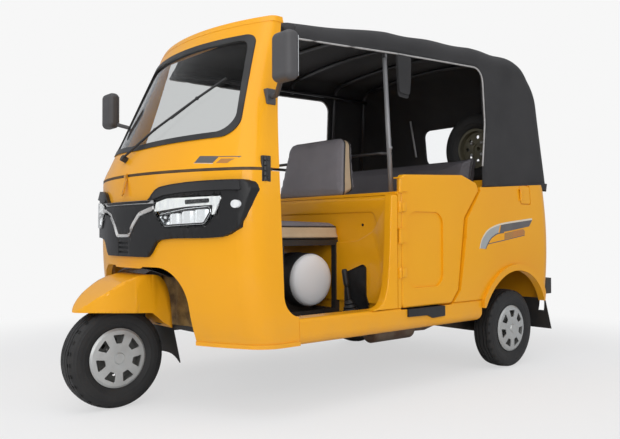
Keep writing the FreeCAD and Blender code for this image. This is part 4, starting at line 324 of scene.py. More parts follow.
gasket_rubber = (Finish("gasket_rubber", (0.012, 0.012, 0.013), 0.48)
                 .tint((0.03, 0.03, 0.03), 0.5, 9.0).give("windscreen_gasket wiper"))

flap_rubber = (Finish("mudflap_rubber", (0.009, 0.009, 0.009), 0.60)
               .dust(0.5, 0.5, amount=0.10).give("front_mudflap rear_mudflaps floor_pan"))

tyre_rubber = (Finish("tyre_rubber", (0.0095, 0.0095, 0.0100), 0.60)
               .tint((0.020, 0.019, 0.018), 0.5, 14.0, 4.0).rise(0.0002, 420.0, 2.0)
               .give("front_tyre rear_left_tyre rear_right_tyre spare_tyre"))

# %% [markdown]
# ## Metals
# The wheel covers are silver-painted plastic, the rims grey paint, and what lies
# under the floor is black chassis paint that dust has browned. The engine is
# bare cast metal, and heat has browned the silencer.

# %% Metals
(Finish("wheel_cover_silver", (0.50, 0.51, 0.50), 0.38, 0.55)
 .tint((0.38, 0.38, 0.37), 0.4, 12.0).dull(0.48, 20.0)
 .give("front_wheel_cover rear_left_wheel_cover rear_right_wheel_cover mask_strip"))

(Finish("rim_grey_paint", (0.20, 0.20, 0.19), 0.45, 0.3)
 .tint((0.10, 0.095, 0.085), 0.5, 16.0).give("front_rim rear_left_rim rear_right_rim"))

(Finish("spare_rim_olive", (0.115, 0.105, 0.065), 0.5)
 .tint((0.07, 0.065, 0.045), 0.5, 16.0).give("spare_rim"))

(Finish("chassis_black_paint", (0.020, 0.020, 0.021), 0.5)
 .dust(0.6, 0.5, (0.13, 0.09, 0.055), 0.6).rise(0.0003, 120.0)
 .give("underframe steering_head trailing_arms rear_dampers driver_seat_frame front_fork rear_bumper"))

(Finish("engine_cast_metal", (0.33, 0.33, 0.32), 0.55, 0.8)
 .dust(0.6, 0.5, (0.13, 0.09, 0.055), 0.7).rise(0.0005, 160.0).give("engine_block"))

(Finish("exhaust_steel", (0.20, 0.15, 0.11), 0.5, 0.7)
 .tint((0.10, 0.05, 0.03), 0.7, 12.0, 5.0).give("silencer"))

# %% [markdown]
# ## Glass and lamp plastic
# The windscreen and the canopy's window are clear, with a slight grey tint.

# %% Glass
(Finish("windscreen_glass_clear", (0.60, 0.615, 0.615), 0.0)
 .put("Transmission Weight", 1.0).put("IOR", 1.15).dull(0.02, 6.0).give("windscreen_glass"))

(Finish("rear_window_film", (0.95, 0.96, 0.97), 0.03)
 .put("Transmission Weight", 1.0).put("IOR", 1.05).dull(0.06, 6.0).give("rear_window"))

# %% [markdown]
# ## Fabric
# The canopy is black coated canvas. The bench is charcoal leathercloth. The
# driver's seat is vinyl with a beige band; its face is painted a lighter grey
# than the bench, which stands in for the light and sheen on it.

# %% Fabric
canvas = (Finish("canopy_black_canvas", (0.0135, 0.0130, 0.0140), 0.80)
          .put("Sheen Weight", 0.06).put("Sheen Roughness", 0.5).tint((0.024, 0.023, 0.024), 0.6, 4.0)
          .rise(0.0002, 900.0, 1.0).give("hood"))

seat_charcoal = (Finish("seat_charcoal_leathercloth", (0.105, 0.098, 0.108), 0.6)
                 .tint((0.08, 0.075, 0.083), 0.5, 7.0).rise(0.0003, 420.0, 2.0).give("bench_cushion bench_backrest"))

# Lighter grey than the bench: painted light and sheen on the driver's vinyl.
driver_vinyl_painted_light = (Finish("driver_seat_vinyl_painted_light", (0.245, 0.230, 0.250), 0.46)
                .tint((0.185, 0.175, 0.190), 0.5, 6.0).rise(0.0003, 420.0, 2.0)
                .give("driver_cushion driver_backrest"))

# %% [markdown]
# ## Helpers for new pieces
# A new piece starts as a bmesh, is shaped by operators and ends as one object
# at the origin. Small tools do most of the work here: they close a bmesh into a
# piece, add a block with rounded edges, turn a profile round an axle, sweep a
# round tube along a smooth curve, lay squares between rows of corners, and give
# a sheet its thickness.

# %% Make pieces from a bmesh
view = bpy.context.scene.view_settings
view.view_transform = "Standard"


def piece(name, bm, finishes, body="body", sharp=38, instead=None):
    """Turns a bmesh into an object that rides on a body, also instead of a CAD node."""
    if not isinstance(finishes, (list, tuple)):
        finishes = [finishes]
    mesh = bpy.data.meshes.new(name)
    bm.to_mesh(mesh)
    bm.free()
    mesh.shade_smooth()
    mesh.set_sharp_from_angle(angle=math.radians(sharp))
    for finish in finishes:
        mesh.materials.append(finish.material)
    made = bpy.data.objects.new(name, mesh)
    bpy.context.collection.objects.link(made)
    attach(made, body)
    if instead:
        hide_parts(instead)
    return made


def round_edges(bm, made, edge, segments):
    """Rounds every edge of a shape that was just added."""
    edges = list({e for v in made["verts"] for e in v.link_edges})
    bmesh.ops.bevel(bm, geom=edges, offset=edge, offset_type="OFFSET", segments=segments, profile=0.5,
                    affect="EDGES", material=-1)


def rounded_block(bm, size, place, edge, turn=None, segments=3):
    """Adds a block of that size at a place, with rounded edges."""
    spot = Matrix.Translation(place)
    if turn is not None:
        spot = spot @ turn.to_4x4()
    made = bmesh.ops.create_cube(bm, size=1.0, matrix=spot @ Matrix.Diagonal((*size, 1)))
    round_edges(bm, made, edge, segments)
    return bm


def line_to(direction):
    """The turn that carries the Z axis onto a direction."""
    return Vector(direction).to_track_quat("Z", "Y").to_matrix()


def lathe(bm, profile, centre, direction, steps=32):
    """Turns a profile of (radius, height) pairs once round an axis."""
    turn = line_to(direction)
    centre = Vector(centre)
    corners = [bm.verts.new(centre + turn @ Vector((r, 0, h))) for r, h in profile]
    edges = [bm.edges.new(pair) for pair in zip(corners, corners[1:])]
    bmesh.ops.spin(bm, geom=corners + edges, cent=centre, axis=turn @ Vector((0, 0, 1)), dvec=(0, 0, 0),
                   angle=math.tau, steps=steps, use_merge=True)
    bmesh.ops.remove_doubles(bm, verts=bm.verts[:], dist=0.00001)
    bmesh.ops.recalc_face_normals(bm, faces=bm.faces[:])
    return bm


def add_tube(bm, points, radius, closed=False, sides=4, smooth=True):
    """Adds a round tube swept along a line of points."""
    curve = bpy.data.curves.new("sweep", "CURVE")
    curve.dimensions = "3D"
    line = curve.splines.new("NURBS" if smooth else "POLY")
    line.points.add(len(points) - 1)
    for spot, point in zip(line.points, points):
        spot.co = (*point, 1)
    line.use_cyclic_u = closed
    if smooth:
        line.order_u = 3
        line.use_endpoint_u = not closed
        line.resolution_u = 6
    curve.bevel_depth = radius
    curve.bevel_resolution = sides
    curve.use_fill_caps = True
    holder = bpy.data.objects.new("sweep", curve)
    mesh = bpy.data.meshes.new_from_object(holder)
    bpy.data.objects.remove(holder)
    bm.from_mesh(mesh)
    bpy.data.meshes.remove(mesh)
    return bm


def pour(bm, part):
    """Adds one bmesh to another and frees it."""
    carrier = bpy.data.meshes.new("carrier")
    part.to_mesh(carrier)
    part.free()
    bm.from_mesh(carrier)
    bpy.data.meshes.remove(carrier)
    return bm


def cut_at(bm, spot, normal, dist=0.00002):
    """Cuts each face where a plane crosses it."""
    return bmesh.ops.bisect_plane(bm, geom=bm.verts[:] + bm.edges[:] + bm.faces[:], dist=dist, plane_co=spot,
                                  plane_no=normal)


def lay_quads(bm, rows, closed=False):
    """Joins rows of corners by squares."""
    for one, two in zip(rows, rows[1:]):
        count = len(one)
        for k in range(count if closed else count - 1):
            after = (k + 1) % count
            bm.faces.new((one[k], one[after], two[after], two[k]))
    return bm


def prism(bm, near, far):
    """Joins two equal outlines of points into a closed solid."""
    rows = [[bm.verts.new(spot) for spot in ring] for ring in (near, far)]
    lay_quads(bm, rows, closed=True)
    caps = [bm.faces.new(rows[0][::-1]), bm.faces.new(rows[1])]
    bmesh.ops.recalc_face_normals(bm, faces=bm.faces[:])
    return caps


def stiffen(bm, thickness):
    """Gives an open sheet its thickness, with its faces outwards."""
    bmesh.ops.recalc_face_normals(bm, faces=bm.faces[:])
    bmesh.ops.solidify(bm, geom=bm.faces[:], thickness=thickness)
    bmesh.ops.recalc_face_normals(bm, faces=bm.faces[:])
    return bm


def split_big(bm):
    """Cuts the many-sided faces into triangles."""
    bmesh.ops.triangulate(bm, faces=[f for f in bm.faces if len(f.verts) > 4])


def merged_copy(name):
    """A CAD node's shape with its loose triangles joined."""
    bm = bmesh.new()
    bm.from_mesh(nodes[name].data)
    bmesh.ops.remove_doubles(bm, verts=bm.verts[:], dist=0.00002)
    return bm


def tree_of(bm):
    """A ray-casting tree of a bmesh, which is freed."""
    tree = BVHTree.FromBMesh(bm)
    bm.free()
    return tree


def skin_of(*names):
    """A ray-casting tree of some CAD nodes."""
    joined = bmesh.new()
    for name in names:
        joined.from_mesh(nodes[name].data)
    return tree_of(joined)


print("helpers ready for", len(nodes), "nodes")

# %% [markdown]
# ## The canopy
# The canopy is one sheet of coated canvas, stretched over tube bows from the
# windscreen header down to the rear panel. A loft would pinch it at the rear
# corners, so a box of fine squares is drawn onto a smooth surface instead: five
# slopes (two walls, roof, upper and lower back) that meet in round shoulders.
# Each point walks down to that surface, then the openings are cut out.

# %% The canopy's surface
hood_front, hood_open_y = -0.5840, 0.652
roof_bend, roof_run = 0.010, 0.610
shoulder_round = 0.075
probe = 0.0005
bow_places = (-0.584, -0.034, 0.310, 0.685, 0.955)


def between(low, high, share):
    """The value at a share of the way from low to high."""
    return low + (high - low) * share


def hood_rise(y):
    """Roof height and shoulder half width at a station."""
    if y < roof_bend:
        share = (y - hood_front) / (roof_bend - hood_front)
        return between(1.652, 1.712, share), between(0.500, 0.562, share)
    share = min(1.0, (y - roof_bend) / roof_run)
    return between(1.712, 1.740, share), between(0.562, 0.588, share)


def slope_through(low, high):
    """A plane that leans back through two (y, z) points."""
    run = Vector((high[0] - low[0], high[1] - low[1])).normalized()
    return Vector((run.y, -run.x)), Vector(low)


back_low = slope_through((1.272, 1.000), (1.205, 1.525))
back_high = slope_through((1.205, 1.525), (1.010, 1.740))


def hood_depth(p):
    """Below zero inside the canopy, zero on its skin."""
    top, shoulder = hood_rise(p.y)
    share = min(1.0, max(0.0, (p.y - roof_bend) / roof_run))
    foot = between(shoulder, 0.628, between(0.3, 1.0, share))
    lean = (foot - shoulder) / (top - 1.0)
    wall = (abs(p.x) - shoulder - lean * (top - p.z)) / math.hypot(1.0, lean)
    roof = p.z - (top - 0.044 * (p.x / shoulder) ** 2)
    rear = Vector((p.y, p.z))
    slopes = [wall, roof] + [(rear - spot).dot(normal) for normal, spot in (back_low, back_high)]
    over = sum(max(shoulder_round + s, 0.0) ** 2 for s in slopes)
    return min(-shoulder_round, max(slopes)) + math.sqrt(over)


def onto_hood(p):
    """Walks a point straight to the canopy's skin."""
    p = p.copy()
    for _ in range(8):
        depth = hood_depth(p)
        if abs(depth) < 0.00005:
            break
        slope = Vector([(hood_depth(p + Vector(d)) - depth) / probe
                        for d in ((probe, 0, 0), (0, probe, 0), (0, 0, probe))])
        if slope.length < 0.01:
            break
        p -= slope * (depth / slope.length_squared)
    return p


print("skin height at the crest:", round(onto_hood(Vector((0, 0.8, 1.8))).z, 4))


# %% [markdown]
# The openings are cut where the outline runs: squares inside it go, and the
# points left along it are pulled onto the line, so the hem is smooth.

# %% Outlines of the openings
def rounded_line(points, radii, steps=7):
    """A closed outline with its corners rounded."""
    out = []
    count = len(points)
    for i, spot in enumerate(points):
        spot = Vector(spot)
        before = (Vector(points[i - 1]) - spot).normalized()
        after = (Vector(points[(i + 1) % count]) - spot).normalized()
        if radii[i] <= 0:
            out.append(spot)
            continue
        half = before.angle(after) / 2
        reach = radii[i] / math.tan(half)
        hub = spot + (before + after).normalized() * (radii[i] / math.sin(half))
        first = spot + before * reach - hub
        last = spot + after * reach - hub
        for k in range(steps + 1):
            ray = first.lerp(last, k / steps).normalized() * radii[i]
            out.append(hub + ray)
    return out


def inside(outline, u, v):
    """Even-odd test of a point in an outline."""
    hit = False
    last = outline[-1]
    for spot in outline:
        if (spot[1] > v) != (last[1] > v):
            if u < (last[0] - spot[0]) * (v - spot[1]) / (last[1] - spot[1]) + spot[0]:
                hit = not hit
        last = spot
    return hit


def nearest(outline, u, v):
    """The closest point on an outline's line."""
    best = None
    here = Vector((u, v))
    last = Vector(outline[-1])
    for spot in outline:
        spot = Vector(spot)
        run = spot - last
        share = 0.0 if run.length < 1e-9 else max(0.0, min(1.0, (here - last).dot(run) / run.length_squared))
        point = last + run * share
        if best is None or (point - here).length < (best - here).length:
            best = point
        last = spot
    return best


side_opening = rounded_line([(-0.80, 0.60), (0.600, 0.60), (0.600, 1.000), (hood_open_y, 1.291), (hood_open_y, 1.582),
                             (-0.80, 1.526)], [0, 0, 0, 0.28, 0.070, 0])
back_window = rounded_line([(-0.262, 1.168), (0.262, 1.168), (0.262, 1.408), (-0.262, 1.408)], [0.052] * 4)
print("outline points:", len(side_opening), len(back_window))

# %% Cut the canopy's cloth
cloth = bmesh.new()
bmesh.ops.create_cube(cloth, size=1.0)
for face in [f for f in cloth.faces if f.normal.z < -0.5 or f.normal.y < -0.5]:
    cloth.faces.remove(face)
for loose in [e for e in cloth.edges if not e.link_faces]:
    cloth.edges.remove(loose)
low_line, high_line, back_line, box_width = 0.950, 1.760, 1.290, 1.28
for vert in cloth.verts:
    vert.co = Vector((vert.co.x * box_width, between(hood_front, back_line, vert.co.y + 0.5),
                      between(low_line, high_line, vert.co.z + 0.5)))
for axis, cuts in ((0, 47), (1, 79), (2, 41)):
    along = [e for e in cloth.edges if abs((e.verts[1].co - e.verts[0].co).normalized()[axis]) > 0.9]
    bmesh.ops.subdivide_edges(cloth, edges=along, cuts=cuts, use_grid_fill=True)
print("squares before the cut:", len(cloth.faces))


def beside_window(p):
    """Near the rear window's edge."""
    return p.y > 1.1 and abs(p.x) < 0.32 and 1.1 < p.z < 1.47


def beside_doorway(p):
    """Near the edge of a side opening."""
    return p.y < 0.70 and abs(p.x) > 0.42


def belt_line(y):
    """Where the canvas ends on the body."""
    return between(0.9562, 1.002, min(1.0, max(0.0, (y - 0.600) / 0.570)))


for vert in cloth.verts:
    vert.co = onto_hood(vert.co)
for face in cloth.faces[:]:
    spot = face.calc_center_median()
    gone = inside(side_opening, spot.y, spot.z) and abs(spot.x) > 0.42
    gone = gone or (spot.y > 1.1 and inside(back_window, spot.x, spot.z))
    if gone:
        cloth.faces.remove(face)
bmesh.ops.delete(cloth, geom=[v for v in cloth.verts if not v.link_faces], context="VERTS")
for vert in [v for v in cloth.verts if v.is_boundary]:
    spot = vert.co
    if beside_window(spot):
        line = nearest(back_window, spot.x, spot.z)
        vert.co = onto_hood(Vector((line.x, spot.y, line.y)))
    elif beside_doorway(spot):
        line = nearest(side_opening, spot.y, spot.z)
        vert.co = onto_hood(Vector((spot.x, max(line.x, hood_front), line.y)))
for vert in [v for v in cloth.verts if v.is_boundary and v.co.z < 1.06]:
    vert.co.z = belt_line(vert.co.y)
cloth_area = sum(f.calc_area() for f in cloth.faces)
print("squares in the canopy:", len(cloth.faces), "area m2:", round(cloth_area, 2))

# %% [markdown]
# Canvas never lies like sheet metal. It sinks a few millimetres between the
# bows, keeps soft folds in the side curtain and the back, and has faint creases
# all over. All of it moves inwards, so the canopy keeps its outside size.

# %% Sag and folds
sag_depth, fold_depth, crease_depth = 0.0055, 0.0022, 0.0012
cloth.normal_update()


def bow_share(y):
    """0 on a bow, 1 half way to the next."""
    for low, high in zip(bow_places, bow_places[1:]):
        if low <= y <= high:
            return math.sin(math.pi * (y - low) / (high - low)) ** 2
    return 0.0


for vert in cloth.verts:
    spot = vert.co
    free = 0.25 if vert.is_boundary else 1.0
    sink = 0.0
    if spot.z > 1.45 and spot.y < 1.0:
        sink += sag_depth * bow_share(spot.y) * min(1.0, max(0.0, (spot.z - 1.45) / 0.15))
    if spot.y > 0.64 and spot.z < 1.6:
        fold = noise.noise(Vector((spot.x * 2.0, spot.y * 9.0, spot.z * 1.6)))
        sink += fold_depth + fold_depth * fold
    crease = noise.noise(Vector((spot.x * 5.0 + 3.0, spot.y * 4.0, spot.z * 5.0)))
    sink += crease_depth + crease_depth * crease
    vert.co = spot - vert.normal * sink * free


# %% Piping lines and the finished sheet
def runs_of(edges):
    """Ordered runs of points along some edges; a closed run ends where it starts."""
    links = {}
    for edge in edges:
        for vert in edge.verts:
            links.setdefault(vert, []).append(edge)
    runs, left = [], set(edges)
    while left:
        ends = [v for v in links if sum(e in left for e in links[v]) == 1]
        vert = ends[0] if ends else next(e for e in edges if e in left).verts[0]
        run = [vert.co.copy()]
        while any(e in left for e in links[vert]):
            step = next(e for e in links[vert] if e in left)
            left.remove(step)
            vert = step.other_vert(vert)
            run.append(vert.co.copy())
        runs.append(run)
    return runs


def border_lines(bm, keep_vert):
    """Runs of border points that pass a test."""
    return runs_of([e for e in bm.edges if e.is_boundary and all(keep_vert(v.co) for v in e.verts)])


hem_runs = border_lines(cloth, lambda p: beside_doorway(p) and p.z > 0.965)
window_runs = border_lines(cloth, beside_window)
print("hem runs:", [len(r) for r in hem_runs], "window runs:", [len(r) for r in window_runs])
canopy = piece("canopy", cloth, canvas, sharp=60)
shell = canopy.modifiers.new("cloth_thickness", "SOLIDIFY")
shell.thickness = 0.0025
shell.offset = -1.0
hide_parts("hood")

piping_finish = (Finish("canopy_grey_piping", (0.42, 0.41, 0.40), 0.55)
                 .tint((0.30, 0.29, 0.28), 0.6, 30.0).rise(0.0002, 500.0, 1.0))
bm = bmesh.new()
for run in hem_runs:
    add_tube(bm, run, 0.0042, sides=2, smooth=False)
piece("canopy_piping", bm, piping_finish)
bm = bmesh.new()
for run in window_runs:
    add_tube(bm, run[:-1], 0.0055, closed=True, sides=2, smooth=False)
piece("canopy_window_bead", bm, gasket_rubber)

# %% [markdown]
# ## Seats
# Each seat is foam in sewn leathercloth. Foam swells against its seams, so the
# pad is made by a short cloth simulation: the model's plain pad, a little
# smaller, is remeshed into even squares and blown up like a balloon for twenty
# frames, with its travel capped. The seams and piping come after it.

# %% Blow up the pads
pad_jobs = []


def start_pad(name, source, voxel, shrink, reshape):
    """A closed pad, ready to swell."""
    low, high = (Vector(c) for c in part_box(source))
    middle = (low + high) / 2
    size = high - low
    bm = merged_copy(source)
    scale = Vector([(s - 2 * shrink) / s for s in size])
    bmesh.ops.scale(bm, vec=scale, space=Matrix.Translation(-middle), verts=bm.verts[:])
    for vert in bm.verts:
        if reshape:
            vert.co = reshape(vert.co)
    mesh = bpy.data.meshes.new(name)
    bm.to_mesh(mesh)
    bm.free()
    pad = bpy.data.objects.new(name, mesh)
    bpy.context.collection.objects.link(pad)
    remesh = pad.modifiers.new("even_squares", "REMESH")
    remesh.mode = "VOXEL"
    remesh.voxel_size = voxel
    pad.data = bpy.data.meshes.new_from_object(pad.evaluated_get(bpy.context.evaluated_depsgraph_get()))
    pad.modifiers.remove(remesh)
    pad_jobs.append((pad, [v.co.copy() for v in pad.data.vertices]))
    return pad


def fuller_back(co):
    """The backrest's foam is wider and thicker at its foot than the plain block."""
    t = (co.z - 0.907) / 0.315
    u = (co.y + 0.037 - 0.056 * t) / 0.065
    front = Vector((-0.040, 0.893)).lerp(Vector((0.0156, 1.214)), t)
    back = Vector((0.043, 0.925)).lerp(Vector((0.072, 1.202)), t)
    spot = front.lerp(back, u)
    return Vector((co.x * between(1.065, 1.012, t), spot.x, spot.y))


def fuller_cushion(co):
    """The cushion's front is a little higher than its rear, as it shows in the photo."""
    t = (co.y + 0.448) / 0.389
    return Vector((co.x * 1.015, -0.2535 + (co.y + 0.2535) * 1.02,
                   co.z - 0.004 + (0.004 - 0.010 * t) * (co.z > 0.73)))


cushion_pad, backrest_pad, bench_pad, bench_back_pad = (
    start_pad(name + "_pad", name, voxel, shrink, reshape)
    for name, voxel, shrink, reshape in (("driver_cushion", 0.007, 0.004, fuller_cushion),
                                         ("driver_backrest", 0.007, 0.004, fuller_back),
                                         ("bench_cushion", 0.009, 0.007, None),
                                         ("bench_backrest", 0.009, 0.007, None)))
print("pad points:", [len(rest) for pad, rest in pad_jobs])

# %% Let the foam swell
swell_frames = 20
for pad, rest in pad_jobs:
    swell = pad.modifiers.new("foam_swell", "CLOTH")
    for setting, value in (("quality", 4), ("mass", 0.3), ("tension_stiffness", 18),
                           ("compression_stiffness", 18),
                           ("bending_stiffness", 0.6), ("use_pressure", True), ("uniform_pressure_force", 4.0)):
        setattr(swell.settings, setting, value)
    swell.settings.effector_weights.gravity = 0.0
    swell.point_cache.frame_end = swell_frames
for step in range(1, swell_frames + 1):
    bpy.context.scene.frame_set(step)
graph = bpy.context.evaluated_depsgraph_get()
for pad, rest in pad_jobs:
    swollen = bpy.data.meshes.new_from_object(pad.evaluated_get(graph))
    pad.modifiers.clear()
    pad.data = swollen
bpy.context.scene.frame_set(1)


def settle(pad, rest, cap, seat_z):
    """Caps the swelling, and keeps the side that rests at a height flat."""
    for vert, home in zip(pad.data.vertices, rest):
        move = vert.co - home
        if move.length > cap:
            move *= cap / move.length
        free = 1.0 if seat_z is None else min(1.0, max(0.0, (home.z - seat_z - 0.010) / 0.020))
        vert.co = home + move * free


# %% Settle the pads
limits = {"driver_cushion_pad": (0.011, 0.690), "driver_backrest_pad": (0.006, 0.893),
          "bench_cushion_pad": (0.024, 0.672), "bench_backrest_pad": (0.020, None)}
for pad, rest in pad_jobs:
    settle(pad, rest, *limits[pad.name])
    low, high = (Vector(c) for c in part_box(pad.name.replace("_pad", "")))
    slack = 0.016 if "driver" in pad.name else 0.004
    for vert in pad.data.vertices:
        vert.co.z = max(vert.co.z, low.z)
        vert.co.x = max(low.x - slack, min(high.x + slack, vert.co.x))
    print(pad.name, "swelled by up to", round(max((v.co - h).length for v, h in zip(pad.data.vertices, rest)), 4))

# %% [markdown]
# The driver's seat is painted a lighter grey on its face, as painted light and
# sheen, with a beige band round its sides and a dark welt where the two are
# sewn together. The seam is a plane cut through the swollen pad: the cut gives
# both the colour border and the line that the welt follows.

# %% Sewn covers and welts
seat_beige = (Finish("seat_beige_leathercloth", (0.60, 0.46, 0.30), 0.55)
              .tint((0.50, 0.37, 0.23), 0.5, 9.0).rise(0.0003, 420.0, 2.0))
welt_finish = Finish("seat_dark_welt", (0.022, 0.020, 0.021), 0.5).tint((0.05, 0.045, 0.045), 0.5, 40.0)


def sew(pad, seams, bands, radius):
    """Cuts seams through a pad; bands pick the cover by place."""
    bm = bmesh.new()
    bm.from_mesh(pad.data)
    bmesh.ops.subdivide_edges(bm, edges=bm.edges[:], cuts=1, use_grid_fill=True, smooth=0.6)
    loops = bmesh.new()
    for spot, normal in seams:
        seam = [e for e in cut_at(bm, spot, normal, 0.0001)["geom_cut"] if isinstance(e, bmesh.types.BMEdge)]
        add_tube(loops, runs_of(seam)[0][1::2], radius, closed=True, sides=2)
    for face in bm.faces:
        face.material_index = bands(face.calc_center_median())
    bm.to_mesh(pad.data)
    bm.free()
    pad.data.shade_smooth()
    return loops


for pad, rest in pad_jobs:
    pad.data.materials.clear()
    for finish in (driver_vinyl_painted_light if "driver" in pad.name else seat_charcoal, seat_beige, welt_finish):
        pad.data.materials.append(finish.material)
    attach(pad, "body")
    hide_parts(pad.name.replace("_pad", ""))

up = Vector((0, 0, 1))
top_seam_z, foot_seam_z = 0.751, 0.697
welts = sew(cushion_pad, [((0, 0, top_seam_z), up), ((0, 0, foot_seam_z), up)],
            lambda p: 0 if p.z > top_seam_z else (1 if p.z > foot_seam_z else 2), 0.0042)
piece("driver_cushion_welts", welts, welt_finish)


def square_to(y, z):
    """The direction square to a line that leans in the side view."""
    lean = Vector((0, y, z)).normalized()
    return Vector((0, -lean.z, lean.y))


face_normal, back_normal = square_to(56, 321), square_to(29, 277)
front_seam = Vector((0, -0.040 + 0.015, 0.893))
rear_seam = Vector((0, 0.043 - 0.012, 0.925))
welts = sew(backrest_pad, [(front_seam, face_normal), (rear_seam, back_normal)],
            lambda p: 0 if (p - front_seam).dot(face_normal) > 0 or (p - rear_seam).dot(back_normal) < 0 else 1,
            0.0042)
piece("driver_backrest_welts", welts, welt_finish)
welts = sew(bench_pad, [((0, 0, 0.758), up)], lambda p: 0, 0.0045)
piece("bench_cushion_welt", welts, welt_finish)
welts = sew(bench_back_pad, [(Vector((0, 0.560 + 0.024, 0.782)), square_to(92, 352))], lambda p: 0, 0.0045)
piece("bench_backrest_welt", welts, welt_finish)

# %% [markdown]
# ## Tyres
# A tyre is a body of revolution, so its cross-section is drawn once and spun
# round the axle. The rib tread comes from grooves in that profile whose edges
# are then pushed sideways in a slow zigzag, and small pockets are pressed into
# the shoulders. Pockets and grooves cost far less than carved blocks.

# %% Tyre shape
tyre_half_profile = [(0.0397, 0.1083), (0.0397, 0.1159), (0.0432, 0.1188), (0.0447, 0.1212), (0.0441, 0.1238),
                     (0.0485, 0.1330), (0.0513, 0.1400), (0.0524, 0.1446), (0.0534, 0.1460), (0.0530, 0.1476),
                     (0.0549, 0.1550), (0.0558, 0.1630), (0.0556, 0.1700), (0.0548, 0.1762), (0.0551, 0.1780),
                     (0.0541, 0.1796), (0.0532, 0.1850), (0.0520, 0.1886), (0.0518, 0.1902), (0.0500, 0.1926),
                     (0.0484, 0.1965), (0.0462, 0.2004), (0.0436, 0.2032), (0.0380, 0.2046), (0.0316, 0.2054),
                     (0.0306, 0.2010), (0.0270, 0.2012), (0.0260, 0.2062), (0.0200, 0.2069), (0.0146, 0.2073),
                     (0.0136, 0.2028), (0.0100, 0.2030), (0.0090, 0.2077), (0.0040, 0.2080)]
tyre_steps = 84
wave_width, pocket_sink = 1.6, 0.0026
pocket_rows = ((0.0445, 0.0475), (0.0325, 0.0378))
wheel_z, rear_x, rear_y = 0.208, 0.568, 0.8705


def tyre_shape():
    """A tyre round the X axis at the origin."""
    bm = bmesh.new()
    right = [(r, x) for x, r in tyre_half_profile]
    left = [(r, -x) for x, r in reversed(tyre_half_profile)]
    lathe(bm, right + left + right[:1], (0, 0, 0), (1, 0, 0), steps=tyre_steps)
    wave = (0.0, 0.0011, 0.0015, 0.0011, 0.0, -0.0011, -0.0015)
    for vert in bm.verts:
        turn = round(math.atan2(vert.co.z, vert.co.y) / math.tau * tyre_steps) % tyre_steps
        if 0.0085 < abs(vert.co.x) < 0.032 and vert.co.yz.length > 0.199:
            vert.co.x += wave[turn % len(wave)] * wave_width
    pockets = []
    for face in bm.faces:
        spot = face.calc_center_median()
        turn = int(math.atan2(spot.z, spot.y) / math.tau * tyre_steps + tyre_steps)
        row = abs(spot.x)
        if spot.yz.length > 0.193 and turn % 3 == 0 and any(a < row < b for a, b in pocket_rows):
            pockets.append(face)
    sunk = bmesh.ops.extrude_discrete_faces(bm, faces=pockets)
    for face in sunk["faces"]:
        for vert in face.verts:
            vert.co -= face.normal * pocket_sink
    return bm


tyre_places = (("front", (0, -1.1145, wheel_z), "front_wheel", None),
               ("rear_left", (rear_x, rear_y, wheel_z), "rear_left_wheel", None),
               ("rear_right", (-rear_x, rear_y, wheel_z), "rear_right_wheel", None),
               ("spare", (0.350, 0.972, 1.2083), "body", Matrix.Rotation(-math.pi / 2, 3, "Z")))
for name, place, body, turn in tyre_places:
    bm = tyre_shape()
    if turn is not None:
        bmesh.ops.rotate(bm, cent=(0, 0, 0), matrix=turn, verts=bm.verts[:])
    bmesh.ops.translate(bm, vec=place, verts=bm.verts[:])
    tyre = piece(name + "_ribbed_tyre", bm, tyre_rubber, body, sharp=32, instead=name + "_tyre")
    print(tyre.name, len(tyre.data.polygons), "faces")

# %% [markdown]
# ## Wheel details
# Behind the windows of each cover sit the nuts of the rim, and a short valve
# stands beside them. They are small, but they show through the windows.

# %% Nuts and valves
bright_steel = (Finish("bright_steel", (0.50, 0.50, 0.50), 0.32, 1.0)
                .tint((0.26, 0.24, 0.22), 0.6, 60.0).dull(0.5, 90.0))


def hex_nut(bm, place, direction, across, height):
    """A six-sided nut with a rounded top edge."""
    turn = line_to(direction)
    spot = Matrix.Translation(place) @ turn.to_4x4()
    made = bmesh.ops.create_cone(bm, cap_ends=True, segments=6, radius1=across / 2, radius2=across / 2, depth=height,
                                 matrix=spot)
    round_edges(bm, made, height * 0.14, 2)


nut_circle, nut_depth, valve_circle, valve_depth = 0.048, 0.0235, 0.094, 0.026
for name, place, body, turn in tyre_places:
    bm = bmesh.new()
    side = -1 if place[0] < -0.1 else 1
    out = Vector((side, 0, 0))
    if turn is not None:
        out = turn @ out
    across = Vector((0, 1, 0)) if turn is None else turn @ Vector((0, 1, 0))
    for k in range(4):
        angle = math.tau * (k + 0.5) / 4
        ray = across * math.cos(angle) + Vector((0, 0, 1)) * math.sin(angle)
        hex_nut(bm, Vector(place) + ray * nut_circle + out * nut_depth, out, 0.019, 0.010)
    root = Vector(place) + across * valve_circle + out * valve_depth
    add_tube(bm, [root, root + out * 0.010, root + out * 0.018 - across * 0.006], 0.0034, sides=3)
    piece(name + "_wheel_nuts", bm, bright_steel, body)
print("wheel nuts on", len(tyre_places), "wheels")

# %% [markdown]
# ## Lamp mask
# The mask is one moulding with soft corners, a low middle and a raised eye at
# each side. Its CAD solid has the pocket, the slots and the wrap round the
# corners, but straight edges. A copy is cut into fine strips, and its upper and
# lower edges are then drawn to smooth curves while the lamp opening stays.

